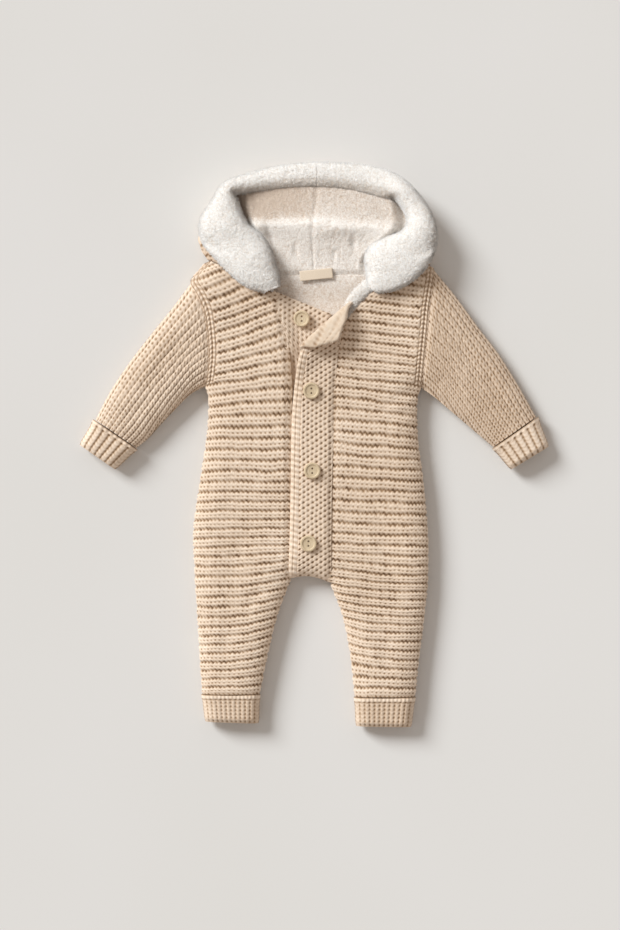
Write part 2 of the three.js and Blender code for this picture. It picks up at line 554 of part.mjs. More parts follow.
// A closed plate from places and four-cornered cells: flat below, rounded at the garment's edge.
function plateGeometry(places, cells) {
  const seamLevel = SEAM_HEIGHT - SEAM_GAP / 2;
  const arches = places.map((place) => archAt(nearestEdge(...place).distance));
  const under = places.map((place, i) => [...place, (seamLevel - EDGE_LIP) * (1 - arches[i])]);
  const upper = places.map((place, i) => [...place, seamLevel - HALF_HOLLOW * arches[i]]);
  const count = places.length;
  const faces = [];
  const border = new Map();
  for (const cell of cells) {
    faces.push(...quad(...cell));
    faces.push(...quad(...cell.map((index) => index + count).reverse()));
    cell.forEach((a, k) => {
      const b = cell[(k + 1) % 4];
      if (!border.delete(`${b} ${a}`)) border.set(`${a} ${b}`, [a, b]);
    });
  }
  for (const [a, b] of border.values()) faces.push(...quad(b, a, a + count, b + count));
  return geometryFrom([...under, ...upper], faces);
}

// A place on a limb: a patch blended between its two long edges and its two ends.
function limbPlace({ upper, lower, start, end }, u, v) {
  const ruledAlong = between(upper(u), lower(u), v);
  const ruledAcross = between(start(v), end(v), u);
  const corners = between(between(upper(0), lower(0), v), between(upper(1), lower(1), v), u);
  return [ruledAlong[0] + ruledAcross[0] - corners[0], ruledAlong[1] + ruledAcross[1] - corners[1]];
}

// Round a flattened tube: the top runs from the upper edge to the lower, and the underside back.
function flattened(topCount, underCount) {
  const top = Array.from({ length: topCount }, (_, k) => (0.5 * k) / topCount);
  const under = Array.from({ length: underCount }, (_, k) => 0.5 + (0.5 * k) / underCount);
  return [...top, ...under];
}
const acrossAt = (w) => (w <= 0.5 ? w * 2 : 2 - w * 2);

// A sleeve: ribs run from the armhole to the cuff on its top, and its underside rests flat.
function sleeveGeometry(sleeve, front) {
  const armhole = (v) => {
    const [x, y] = sideEnd(front, lerp(front === LEFT_FRONT ? 2 : 0, FIRST_SIDE_RIDGE, v));
    return [x + Math.sign(x) * BAND_GAP, y];
  };
  const upper = sleeveEdge(sleeve, 'up');
  const lower = sleeveEdge(sleeve, 'low');
  const limb = { upper, lower, start: armhole, end: (v) => between(upper(1), lower(1), v) };
  const round = flattened(SLEEVE_RIBS * 2, 8);
  const outer = (u, w) => {
    const v = acrossAt(w);
    const place = limbPlace(limb, u, v);
    const seam = lerp(SEAM_HEIGHT, SLEEVE_SEAM, u);
    if (w > 0.5) {
      const arch = archAt(nearestEdge(...place).distance);
      return [...place, seam * (1 - arch)];
    }
    const pulled = 1 - smoothstep(u, 0, 0.08);
    const crest = Math.round(v * SLEEVE_RIBS * 2) % 2 === 1 ? RIB_LIFT : -RIB_LIFT;
    const top = lerp(BODY_TOP, SLEEVE_TOP, smoothstep(u, 0, 1)) - SEAM_DIP * pulled;
    return upperPoint(place, seam, top, crest * (1 - pulled) * Math.sin(Math.PI * v) ** 0.3);
  };
  const inner = (u, w) => {
    const seam = lerp(SEAM_HEIGHT, SLEEVE_SEAM, u);
    const v = lerp(0.1, 0.9, acrossAt(w));
    const side = w === 0 || w === 0.5 ? 0 : HALF_HOLLOW;
    return [...limbPlace(limb, u, v), seam + (w < 0.5 ? side : -side)];
  };
  return tubeSolid({ outer, inner, stations: even(10), outerRound: round, innerRound: flattened(5, 5) });
}

// A cuff: turned-back rib with a lip at its border and a rounded end.
function cuffGeometry({ border, end, top, rise, side }) {
  const corner = (u, which) => {
    const [x, y] = between(border[which], end[which], u);
    const [otherX, otherY] = between(border[1 - which], end[1 - which], u);
    const width = Math.hypot(x - otherX, y - otherY);
    const out = side * (1 - smoothstep(u, 0.1, 0.3)) - side * smoothstep(u, 0.85, 1);
    return [x + ((x - otherX) / width) * out, y + ((y - otherY) / width) * out];
  };
  const seam = SLEEVE_SEAM;
  const roll = 15;
  const heightAt = (u, v) => {
    const [a, b] = [corner(u, 0), corner(u, 1)];
    const distance = Math.min(v, 1 - v) * Math.hypot(a[0] - b[0], a[1] - b[1]);
    return archAt(distance, roll);
  };
  const rounded = (u) => 3 * smoothstep(u, 0.84, 1);
  const outer = (u, w) => {
    const v = acrossAt(w);
    const place = between(corner(u, 0), corner(u, 1), v);
    const arch = heightAt(u, v);
    if (w > 0.5) return [...place, seam * (1 - arch) + rounded(u) * 0.6 * arch];
    const lip = rise * (1 - smoothstep(u, 0.12, 0.3)) - rounded(u);
    const crest = Math.round(v * CUFF_RIBS * 2) % 2 === 1 ? CUFF_RIB_LIFT : -CUFF_RIB_LIFT;
    return [...place, seam + (top + lip - seam + crest * Math.sin(Math.PI * v) ** 0.4) * arch];
  };
  const inner = (u, w) => {
    const place = between(corner(u, 0), corner(u, 1), lerp(0.15, 0.85, acrossAt(w)));
    const half = w === 0 || w === 0.5 ? 0 : HALF_HOLLOW + 0.3 * rounded(u);
    return [...place, seam + (w < 0.5 ? half : -half)];
  };
  const stations = [0, 0.12, 0.3, 0.6, 0.86, 1];
  const outerRound = flattened(CUFF_RIBS * 2, 8);
  return tubeSolid({ outer, inner, stations, outerRound, innerRound: flattened(4, 4) });
}

// The height of the buttonhole band's two faces, which round down to the crotch.
function bandFaces(x, y) {
  const arch = archAt(nearestEdge(x, y).distance);
  const edge = SEAM_HEIGHT + SEAM_GAP / 2;
  const top = lerp(edge + EDGE_LIP, BAND_TOP, arch);
  return { top, under: Math.max(top - BAND_WALL, edge + HALF_HOLLOW * arch) };
}

// The button stand lies between the back and the buttonhole band.
function standGeometry() {
  const place = (u, v) => {
    const ridge = lerp(BUTTON_STAND[0].ridge, BUTTON_STAND.at(-1).ridge, u);
    const [x, y] = innerEnd(LEFT_FRONT, ridge);
    return between([x + BAND_GAP, y], readPoint(BUTTON_STAND, 'ridge', 'freeX', 'freeY', ridge), v);
  };
  const floor = (x, y) => SEAM_HEIGHT + SEAM_GAP / 2 + HALF_HOLLOW * archAt(nearestEdge(x, y).distance);
  const outer = (u, v) => {
    const [x, y] = place(u, v);
    const edge = Math.min(smoothstep(u, 0, 0.012), smoothstep(1 - v, 0, 0.06));
    const top = Math.min(STAND_TOP, bandFaces(x, y).under - BAND_GAP);
    return [x, y, top - 1.2 * (1 - edge)];
  };
  const inner = (u, v) => {
    const [x, y] = place(u, v);
    return [x, y, floor(x, y)];
  };
  return clothSolid({
    outer,
    inner,
    outerAlong: [0, 0.012, 0.06, 0.12, 0.2, 0.3, 0.45, 0.6, 0.75, 0.9, 0.95, 1],
    outerAcross: [0, 0.25, 0.5, 0.75, 0.94, 1],
    innerAcross: [0, 0.5, 1],
  });
}

// How far a place lies beyond the lapel's fold line.
const beyondFold = ([x, y]) => (x - FOLD.x) * FOLD.outX + (y - FOLD.y) * FOLD.outY;

// A point of the buttonhole band, rolled over the fold line where it lies beyond it.
// h is the height above the band's middle layer, towards the face that shows when it is buttoned.
function foldedPoint([x, y], middle, h) {
  const beyond = beyondFold([x, y]);
  if (beyond <= 0) return [x, y, middle + h];
  const footX = x - FOLD.outX * beyond;
  const footY = y - FOLD.outY * beyond;
  const halfTurn = Math.PI * FOLD.radius;
  const sheet = beyond + halfTurn * Math.min(beyond / FOLD.width, 1);
  const turn = Math.min(sheet / FOLD.radius, Math.PI);
  const past = Math.max(sheet - halfTurn, 0);
  const out = (FOLD.radius - h) * Math.sin(turn) - past;
  const z = middle + FOLD.radius - (FOLD.radius - h) * Math.cos(turn) + FOLD.lift * past;
  return [footX + FOLD.outX * out, footY + FOLD.outY * out, z];
}

// The buttonhole band: sewn to the right front, its top corner turned back as a lapel.
function bandGeometry() {
  const foldColumn = 0.5;
  const place = (u, v) => {
    const ridge = lerp(BUTTONHOLE_BAND[0].ridge, BUTTONHOLE_BAND.at(-1).ridge, u);
    const free = readPoint(BUTTONHOLE_BAND, 'ridge', 'freeX', 'freeY', ridge);
    const [x, y] = innerEnd(RIGHT_FRONT, ridge);
    const seam = [x - BAND_GAP, y];
    const crossing = beyondFold(free) / (beyondFold(free) - beyondFold(seam));
    const share = THREE.MathUtils.clamp(crossing, 0.3, 0.9);
    const t = v < foldColumn ? (share * v) / foldColumn : lerp(share, 1, (v - foldColumn) / (1 - foldColumn));
    const hollow = FLAP_HOLLOW * Math.sin(Math.PI * t) * (1 - smoothstep(u, 0, 0.15));
    const [placeX, placeY] = between(free, seam, t);
    return { x: placeX, y: placeY - hollow, t };
  };
  const face = (u, v, side) => {
    const { x, y, t } = place(u, v);
    const { top, under } = bandFaces(x, y);
    const lapel = 1 - smoothstep(u, 0.16, 0.3);
    const round = 1 - Math.min(smoothstep(t, 0, 0.05), smoothstep(u, 0, 0.02));
    const thick = lerp(top - under, LAPEL_WALL, lapel);
    const middle = (top + under) / 2 - 0.4 * lapel;
    const dip = side > 0 ? 1.2 * smoothstep(t, 0.86, 1) * (1 - lapel) : 0;
    return foldedPoint([x, y], middle, side * (thick / 2 - 0.9 * round) - dip);
  };
  const flapRows = [0, 0.02, 0.045, 0.07, 0.095, 0.12, 0.145, 0.17, 0.19, 0.205];
  const lowRows = [0.23, 0.26, 0.31, 0.37, 0.45, 0.55, 0.65, 0.75, 0.85, 0.92, 0.96, 0.98, 1];
  return clothSolid({
    outer: (u, v) => face(u, v, 1),
    inner: (u, v) => face(u, v, -1),
    outerAlong: [...flapRows, ...lowRows],
    outerAcross: [0, 0.06, 0.18, 0.28, 0.34, 0.38, 0.42, 0.46, 0.5, 0.62, 0.78, 0.92, 1],
  });
}

// The outside of the hood: a knit wall on the floor, rounded at its rim.
function hoodOutsideGeometry() {
  const place = (u, v) => between(
    readPoint(HOOD_OUTSIDE, 'place', 'neckX', 'neckY', v),
    readPoint(HOOD_OUTSIDE, 'place', 'rimX', 'rimY', v),
    u,
  );
  const rim = (u) => smoothstep(u, 0.9, 1);
  return clothSolid({
    outer: (u, v) => [...place(u, v), HOOD_WALL - 1.8 * rim(u)],
    inner: (u, v) => [...place(u, v), 2.6 * rim(u)],
    outerAlong: [0, 0.5, 0.9, 1],
    outerAcross: even(18),
  });
}

// One half of the hood lining, from its edge under the brim to the centre seam.
function hoodLiningGeometry(side) {
  const place = (u, v) => {
    const edge = readPoint(HOOD_ROWS, 'row', `${side}X`, `${side}Y`, u * 8);
    const [midX, midY] = readPoint(HOOD_ROWS, 'row', 'midX', 'midY', u * 8);
    const gap = (side === 'left' ? -SEAM_GAP : SEAM_GAP) / 2;
    const [x, y] = between(edge, [midX + gap, midY], v);
    return [x, y + readColumn(HOOD_ROWS, 'row', 'bow', u * 8) * Math.sin(Math.PI * v)];
  };
  const top = (u, v) => {
    const [x, y] = place(u, v);
    const height = readColumn(HOOD_ROWS, 'row', 'height', u * 8);
    const tucked = smoothstep(v, 0.1, 0.3);
    const seam = 1.6 * smoothstep(v, 0.93, 1);
    const crown = smoothstep(u, 0, 0.1);
    return [x, y, lerp(LINING_EDGE, height - seam, tucked * crown)];
  };
  return clothSolid({
    outer: top,
    inner: (u, v) => [...place(u, v), LINING_FLOOR],
    outerAlong: even(20),
    outerAcross: [0, 0.1, 0.2, 0.34, 0.5, 0.66, 0.82, 0.93, 1],
    innerAlong: even(8),
    innerAcross: even(2),
  });
}

// How far a place lies on the hood's side of the neck seam of the fronts.
function hoodwardOfNeck(x, y) {
  const table = x < 0 ? LEFT_FRONT : RIGHT_FRONT;
  let nearest = Infinity;
  let hoodward = 0;
  for (let ridge = 0; ridge <= 5; ridge += 0.25) {
    const [neckX, neckY] = innerEnd(table, ridge);
    const distance = Math.hypot(x - neckX, y - neckY);
    if (distance < nearest) {
      nearest = distance;
      hoodward = y - neckY + 0.45 * (Math.abs(neckX) - Math.abs(x));
    }
  }
  return hoodward;
}

// One half of the brim: a thick roll that lies on the lining's edge and laps over the front.
function brimGeometry(table) {
  const last = table.length - 1;
  const skin = (u, w) => {
    const outerEdge = readPoint(table, 'place', 'outX', 'outY', u * last);
    const innerEdge = readPoint(table, 'place', 'inX', 'inY', u * last);
    const crest = readColumn(table, 'place', 'crest', u * last);
    const turn = 2 * Math.PI * w;
    const across = (1 - Math.cos(turn)) / 2;
    const [x, y] = between(outerEdge, innerEdge, across);
    const overFront = 1 - smoothstep(hoodwardOfNeck(x, y), 7, 22);
    const overLining = smoothstep(across, 0.4, 0.64);
    const floor = Math.max(lerp(HOOD_WALL + 0.4, BRIM_OVER_FRONT, overFront), BRIM_UNDER_LINING * overLining);
    const waist = Math.max(floor + 3.5, 19);
    const wave = 1 + 0.05 * Math.sin(u * last * 2.1);
    if (w <= 0.5) return [x, y, waist + (crest - waist) * wave * Math.sin(turn) ** 0.75];
    return [x, y, waist - (waist - floor) * (-Math.sin(turn)) ** 0.5];
  };
  return rollSolid({ skin, stations: even(24), round: flattened(7, 5) });
}

// The fleece that shows in the neck opening, tucked under the fronts at its sides.
function neckLiningGeometry() {
  const place = (u, v) => between(
    readPoint(NECK_LINING, 'place', 'topX', 'topY', v),
    readPoint(NECK_LINING, 'place', 'lowX', 'lowY', v),
    u,
  );
  const bulge = (u, v) => 3 * Math.sin(Math.PI * v) ** 0.6 * (1 - smoothstep(u, 0.1, 0.45));
  return clothSolid({
    outer: (u, v) => [...place(u, v), 12.5 + bulge(u, v)],
    inner: (u, v) => [...place(u, v), LINING_FLOOR],
    outerAlong: [0, 0.12, 0.24, 0.36, 0.48, 0.75, 1],
    outerAcross: even(10),
    innerAlong: [0, 1],
    innerAcross: even(3),
  });
}

// A bare woven label over the neck seam.
function labelGeometry() {
  const { x, y, width, height, thickness, turn } = LABEL;
  const lift = 17.3;
  const place = (u, v, z) => {
    const sideways = (v - 0.5) * width;
    const upwards = (u - 0.5) * height;
    const belly = 0.8 * Math.sin(Math.PI * v);
    return [
      x + sideways * Math.cos(turn) - upwards * Math.sin(turn),
      y + sideways * Math.sin(turn) + upwards * Math.cos(turn),
      z + belly,
    ];
  };
  return clothSolid({
    outer: (u, v) => place(u, v, lift + thickness),
    inner: (u, v) => place(u, v, lift),
    outerAlong: [0, 1],
    outerAcross: even(6),
  });
}

// A closed geometry as a solid that can be cut, and back again.
function toSolid(geometry) {
  const bare = geometry.clone();
  bare.deleteAttribute('normal');
  bare.deleteAttribute('uv');
  const merged = mergeVertices(bare, 1e-3);
  const corners = merged.index.array;
  const kept = [];
  for (let i = 0; i < corners.length; i += 3) {
    const [a, b, c] = corners.slice(i, i + 3);
    if (a !== b && b !== c && c !== a) kept.push(a, b, c);
  }
  const vertProperties = merged.attributes.position.array;
  return new wasm.Manifold(new wasm.Mesh({ numProp: 3, vertProperties, triVerts: new Uint32Array(kept) }));
}

function fromSolid(solid) {
  const mesh = solid.getMesh();
  const geometry = new THREE.BufferGeometry();
  geometry.setAttribute('position', new THREE.Float32BufferAttribute(mesh.vertProperties, 3));
  geometry.setIndex(Array.from(mesh.triVerts));
  geometry.computeVertexNormals();
  return geometry;
}

// A turned button with a raised rim and two holes in line with the front.
function buttonGeometry() {
  const profile = BUTTON_PROFILE.map(([radius, height]) => new THREE.Vector2(radius, height));
  const disc = toSolid(new THREE.LatheGeometry(profile, 24).rotateX(Math.PI / 2));
  const drills = [-1, 1].map((way) => {
    const drill = new THREE.CylinderGeometry(BUTTON_HOLE.radius, BUTTON_HOLE.radius, BUTTON_RADIUS, 8);
    return toSolid(drill.rotateX(Math.PI / 2).translate(0, way * BUTTON_HOLE.offset, 0));
  });
  return fromSolid(drills.reduce((solid, drill) => solid.subtract(drill), disc));
}

function pieceOf(name, geometry, finish) {
  const mesh = new THREE.Mesh(geometry, new THREE.MeshStandardMaterial(COLOURS[finish]));
  mesh.name = name;
  return mesh;
}

const romper = new THREE.Group();
romper.add(pieceOf('back_panel', backGeometry(), 'knit'));
romper.add(pieceOf('left_front', frontGeometry(LEFT_FRONT), 'knit'));
romper.add(pieceOf('right_front', frontGeometry(RIGHT_FRONT), 'knit'));
romper.add(pieceOf('button_stand', standGeometry(), 'knit'));
romper.add(pieceOf('buttonhole_band', bandGeometry(), 'knit'));
romper.add(pieceOf('left_sleeve', sleeveGeometry(LEFT_SLEEVE, LEFT_FRONT), 'knit'));
romper.add(pieceOf('right_sleeve', sleeveGeometry(RIGHT_SLEEVE, RIGHT_FRONT), 'knit'));
for (const [name, cuff] of Object.entries(CUFFS)) romper.add(pieceOf(name, cuffGeometry(cuff), 'knit'));
romper.add(pieceOf('hood_outer', hoodOutsideGeometry(), 'knit'));
romper.add(pieceOf('hood_lining_left', hoodLiningGeometry('left'), 'fleece'));
romper.add(pieceOf('hood_lining_right', hoodLiningGeometry('right'), 'fleece'));
romper.add(pieceOf('hood_brim_left', brimGeometry(LEFT_BRIM), 'fleece'));
romper.add(pieceOf('hood_brim_right', brimGeometry(RIGHT_BRIM), 'fleece'));
romper.add(pieceOf('back_neck_lining', neckLiningGeometry(), 'fleece'));
romper.add(pieceOf('neck_label', labelGeometry(), 'label'));
for (const { name, x, y, z, tiltX, tiltY } of BUTTONS) {
  const button = pieceOf(name, buttonGeometry(), 'button');
  button.position.set(x, y, z);
  button.rotation.set(tiltX, tiltY, 0);
  romper.add(button);
}

// The origin lies at the middle of the garment's box, on the floor.
const bounds = new THREE.Box3().setFromObject(romper);
const middle = bounds.getCenter(new THREE.Vector3());
romper.position.set(-middle.x, -middle.y, -bounds.min.z);

export default romper;
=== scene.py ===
"""Dresses a hooded, chunky-knit baby romper that lies flat: knit, fleece, tape and buttons."""
import json
import logging
import math
from dataclasses import dataclass, field
from enum import Enum
from functools import partial
from typing import Callable, Sequence

import bmesh
import bpy
import numpy as np
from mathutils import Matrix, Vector

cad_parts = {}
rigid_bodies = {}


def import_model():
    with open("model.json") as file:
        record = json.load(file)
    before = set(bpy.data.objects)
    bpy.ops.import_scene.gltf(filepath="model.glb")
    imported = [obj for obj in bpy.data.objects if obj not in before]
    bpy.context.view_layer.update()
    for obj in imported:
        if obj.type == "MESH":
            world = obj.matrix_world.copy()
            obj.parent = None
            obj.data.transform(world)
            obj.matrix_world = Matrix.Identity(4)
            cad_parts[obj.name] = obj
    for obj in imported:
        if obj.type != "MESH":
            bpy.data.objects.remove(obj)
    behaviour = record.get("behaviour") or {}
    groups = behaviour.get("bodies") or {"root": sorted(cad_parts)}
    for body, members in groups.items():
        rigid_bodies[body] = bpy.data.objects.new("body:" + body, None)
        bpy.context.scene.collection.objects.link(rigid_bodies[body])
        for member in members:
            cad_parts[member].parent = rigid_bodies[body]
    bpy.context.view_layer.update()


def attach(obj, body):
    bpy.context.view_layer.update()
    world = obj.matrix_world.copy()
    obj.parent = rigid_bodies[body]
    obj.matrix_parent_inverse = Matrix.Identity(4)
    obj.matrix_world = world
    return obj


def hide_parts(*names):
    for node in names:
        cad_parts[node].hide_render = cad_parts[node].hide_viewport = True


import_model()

MM = 0.001
BODY = "root"
log = logging.getLogger("romper")

# Driving sizes of the garment, in millimetres
SEAM_GAP = 0.3
BAND_GAP = 0.6
SEAM_HEIGHT = 11.2
FRONT_FLOOR = SEAM_HEIGHT + SEAM_GAP / 2  # underside of what lies on the back, at the edge
BACK_TOP = SEAM_HEIGHT - SEAM_GAP / 2
BODY_TOP = 23.2
SLEEVE_TOP = 20.0
SLEEVE_SEAM = 9.8
EDGE_ROLL = 27.0
EDGE_LIP = 1.5
HALF_HOLLOW = 1.5
SEAM_DIP = 1.8
SEAM_DIP_WIDTH = 8.0
RIDGES = 44
LAST_BODY_RIDGE = 32
FIRST_SIDE_RIDGE = 12
NECK_DROP = 11.6
CENTRE = np.array([-0.22, -0.5, 0.0])  # the frame's origin is the middle of the garment
STITCH = 5.0  # width of one stitch of the chunky yarn
RIDGE_HEIGHT = 11.5  # mean distance from one ridge of the fronts to the next
HOOD_RIDGE_HEIGHT = 11.0
SEED_ROW = 5.9
SEED_COLUMN = 9.4  # width of two dots of the seed stitch
SLEEVE_RIDGES_TOP = 13
SLEEVE_RIDGES_END = 10
CUFF_RIBS = 8
STAND_TOP = 17.6
BAND_TOP = 25.0
BAND_WALL = 7.0
LAPEL_WALL = 5.0
FLAP_HOLLOW = 4.0
HOOD_WALL = 9.4
LINING_FLOOR = 9.9
LINING_EDGE = 13.2
BRIM_UNDER_LINING = 15.2
BRIM_OVER_FRONT = 26.0


class Table:
    """A short table with named columns, read between its rows on a smooth curve."""

    def __init__(self, columns: str, *rows: tuple[float, ...]) -> None:
        """Keeps the rows.

        Args:
            columns: the columns' names, the place along the piece first.
            rows: one tuple of numbers for each section, in millimetres.
        """
        names = columns.split()
        values = np.array(rows, dtype=float)
        self.places = values[:, 0]
        self.columns = {name: values[:, i] for i, name in enumerate(names)}

    def read(self, name: str, place: np.ndarray | float) -> np.ndarray:
        """Reads one column.

        Args:
            name: the column.
            place: where along the table, one place or many.

        Returns:
            The column's value there.
        """
        at = np.atleast_1d(np.asarray(place, dtype=float))
        values, places = self.columns[name], self.places
        last = len(places) - 1
        row = np.clip(np.searchsorted(places, at, side="left") - 1, 0, last - 1)
        before, after = np.maximum(np.arange(last + 1) - 1, 0), np.minimum(np.arange(last + 1) + 1, last)
        slopes = (values[after] - values[before]) / (places[after] - places[before])
        span = places[row + 1] - places[row]
        t = np.clip((at - places[row]) / span, 0, 1)
        settle = t * t * (3 - 2 * t)
        leave = t * (1 - t) ** 2 * span * slopes[row]
        arrive = t * t * (t - 1) * span * slopes[row + 1]
        return values[row] + (values[row + 1] - values[row]) * settle + leave + arrive

    def place_at(self, share: np.ndarray) -> np.ndarray:
        """The place that is a share, from 0 to 1, of the way from the first row to the last."""
        return mix(self.places[0], self.places[-1], share)

    def point(self, name: str, place: np.ndarray | float) -> np.ndarray:
        """Reads a pair of columns, such as side_x and side_y, as points of shape (n, 2)."""
        return np.stack([self.read(f"{name}_x", place), self.read(f"{name}_y", place)], axis=-1)


# Ridges of the fronts: the end at the side or armhole, the end at the band or inner leg, and the bend.
LEFT_FRONT = Table(
    "ridge side_x side_y inner_x inner_y bend",
    (0, -120, 199, -113, 202, 1), (1, -126, 192, -107, 199, 1), (2, -135, 179, -95, 194, 1),
    (3, -129, 167, -78, 187, 1), (4, -123, 155, -61, 179, 1), (5, -119, 143, -43, 170, 1),
    (7, -116, 120, -37, 148, 1), (9, -115, 97, -32, 123, 1), (11, -117, 75, -28, 94, 1),
    (12, -118, 66, -27, 79, 1), (13, -115, 54, -26, 65, 1), (15, -115, 31, -26, 36, 1),
    (17, -117, 8, -26, 9, 1), (21, -124, -39, -26, -39, 1), (26, -131, -91, -26, -89, 1.3),
    (30, -130, -131, -26, -125, 2), (32, -129, -154, -26, -145, 2.5), (33, -128, -165, -30, -155, 2.7),
    (36, -126, -197, -41, -186, 3), (40, -124, -235, -51, -227, 3), (43, -122, -263, -58, -260, 2),
    (44, -122, -271, -60, -271, 1),
)
RIGHT_FRONT = Table(
    "ridge side_x side_y inner_x inner_y bend",
    (0, 131, 194, 125, 197, 1), (1, 130.5, 184, 106, 188, 1), (2, 129, 173, 84, 179, 1),
    (3, 127.5, 161, 63, 169, 1), (4, 126, 150, 49, 158, 1), (5, 125, 139, 39, 147, 1),
    (7, 123, 117, 32, 126, 1), (9, 121, 96, 27, 106, 1), (11, 119, 76, 25, 86, 1),
    (12, 117, 65, 24, 76, 1), (13, 113, 55, 23.5, 65, 1), (15, 112, 32, 23, 42, 1),
    (17, 113, 8, 22, 17, 1), (21, 119, -39, 20, -33, 1.2), (26, 124, -98, 19, -94, 1.5),
    (30, 124, -141, 19, -133, 2), (32, 123, -159, 19, -150, 2.5), (33, 122, -168, 22, -159, 2.7),
    (36, 119, -195, 32, -186, 3), (40, 114, -233, 40, -226, 3), (43, 111, -264, 44, -262, 2),
    (44, 110, -274, 45, -274, 1),
)

# Sections of the sleeves, from the armhole to the cuff: upper edge and underarm edge.
LEFT_SLEEVE = Table(
    "place up_x up_y low_x low_y",
    (0, -135.6, 179, -118.6, 66), (0.2, -157, 150, -136, 57), (0.4, -180, 121, -151, 42),
    (0.6, -202, 92, -166, 26), (0.8, -223, 60, -180, 10), (1, -239, 29, -194, -2),
)
RIGHT_SLEEVE = Table(
    "place up_x up_y low_x low_y",
    (0, 131.6, 194, 117.6, 65), (0.2, 156, 164, 135, 52), (0.4, 179, 132, 150, 39),
    (0.6, 203, 100, 165, 26), (0.8, 224, 66, 181, 12), (1, 243, 32, 196, -1),
)

# Free edges of the two bands, by the ridges of the front that each is sewn to.
BUTTON_STAND = Table(
    "ridge free_x free_y",
    (5, 19, 144), (7, 21, 124), (9, 21, 103), (12, 20, 74), (15, 18, 36), (20, 16, -28), (30, 14, -128),
)
BUTTONHOLE_BAND = Table(
    "ridge free_x free_y",
    (3.5, 1, 142), (6, -6, 124), (9.3, -15, 102), (12, -20, 76), (15, -23.8, 38),
    (18, -25, 0), (21, -25.4, -35), (26, -26.4, -92), (32, -28.4, -145),
)

# Rows of the hood lining, from the crown to the neck: left edge, centre seam, right edge.
HOOD_ROWS = Table(
    "row left_x left_y mid_x mid_y right_x right_y height bow",
    (0, -88, 279, 3, 295, 94, 273, 12.5, 6), (1, -91, 272, 3, 285, 101, 263, 21, 4),
    (2, -88, 263, 2, 271, 104, 254, 22, 2), (3, -83, 251, 0, 252, 106, 246, 22.8, 0),
    (4, -80, 245, -1, 246, 105, 240, 24.8, 0), (5, -76, 238, -2, 239, 101, 232, 26.4, 0),
    (6, -62, 226, -2, 222, 82, 221, 22, 0), (7, -53, 207, -1, 204, 62, 205, 18, 0),
    (8, -47, 188, 0, 187.5, 61, 188, 16, 0),
)

# The brim's rolls, from the crown's seam to the neck: outer edge, inner edge, crest height.
LEFT_BRIM = Table(
    "place out_x out_y in_x in_y crest",
    (0, 3, 308, 3, 283, 28.5), (1, -26, 305.5, -26, 282, 28.5), (2, -57, 300, -52, 279, 30),
    (3, -83, 292, -74, 275.5, 33), (4, -99, 284, -86, 274, 37), (5, -111, 266, -83, 264, 39),
    (6, -122, 248, -78, 251, 41), (7, -124, 231, -71, 239, 42), (8, -117, 216, -57, 228, 42),
    (9, -104, 201, -48, 214, 42), (10, -88, 185, -43, 198, 41), (11, -72, 173, -39, 184, 39),
    (12, -53, 167, -38, 173, 34),
)
RIGHT_BRIM = Table(
    "place out_x out_y in_x in_y crest",
    (0, 3.3, 308, 3.3, 283, 28.5), (1, 34, 307, 32, 281, 28.5), (2, 61, 304, 56, 276, 30),
    (3, 84, 297, 75, 271, 33), (4, 103, 284, 88, 270, 37), (5, 118, 267, 98, 257, 38),
    (6, 129, 248, 102, 246, 39), (7, 133, 230, 97, 234, 40), (8, 131, 213, 79, 226, 41),
    (9, 122, 195, 61, 217, 41), (10, 107, 180, 56, 203, 40), (11, 88, 170, 58, 189, 38),
    (12, 68, 166, 59, 173, 34),
)

# The outside of the hood on the floor: neck seam and outline, from left to right.
HOOD_OUTSIDE = Table(
    "place neck_x neck_y rim_x rim_y",
    (0, -117, 205, -122, 212), (0.08, -100, 198.5, -126, 228), (0.18, -78, 193.8, -119, 252),
    (0.3, -50, 189.4, -92, 284), (0.42, -20, 186.8, -46, 299), (0.55, 12, 186.4, 14, 304),
    (0.68, 44, 188.3, 70, 297), (0.8, 76, 191, 108, 272), (0.9, 102, 194.3, 127, 238),
    (1, 127, 198.5, 130, 208),
)
NECK_LINING = Table(
    "place top_x top_y low_x low_y",
    (0, -48, 187, -46, 164), (0.35, -10, 186.6, -14, 148), (0.65, 22, 186.6, 20, 132),
    (1, 62, 187, 60, 162),
)


def mix(a: np.ndarray | float, b: np.ndarray | float, t: np.ndarray | float) -> np.ndarray:
    """Goes from a to b as t goes from 0 to 1; a and b may be points and t one number for each."""
    share = np.asarray(t, dtype=float)
    if np.ndim(a) == 2 and share.ndim == 1:
        share = share[:, None]
    return a + (b - a) * share


def smooth(t: np.ndarray | float, low: float, high: float) -> np.ndarray:
    """Rises smoothly from 0 at low to 1 at high."""
    x = np.clip((np.asarray(t, dtype=float) - low) / (high - low), 0, 1)
    return x * x * (3 - 2 * x)


def bell(x: np.ndarray, width: float) -> np.ndarray:
    """A soft bump: 1 where x is 0, and next to nothing beyond twice the width."""
    return np.exp(-((x / width) ** 2))


def ripple(turns: np.ndarray) -> np.ndarray:
    """A wave from -1 to 1 that crests at every whole number."""
    return np.cos(2 * np.pi * turns)


def there_and_back(around: np.ndarray) -> np.ndarray:
    """Goes from 0 to 1 and back as around goes from 0 to 1, as over and under a flat tube."""
    return np.where(around <= 0.5, around * 2, 2 - around * 2)


def arch_at(distance: np.ndarray, roll: float = EDGE_ROLL) -> np.ndarray:
    """How far up its arch the cloth is at a distance from its edge, from 0 to 1."""
    t = np.clip(distance / roll, 0, 1)
    return np.sqrt(1 - (1 - t) ** 2)


def crowd(t: np.ndarray, share: float = 0.6) -> np.ndarray:
    """Moves evenly spaced values from 0 to 1 towards both ends."""
    return mix(t, (1 - np.cos(np.pi * t)) / 2, share)


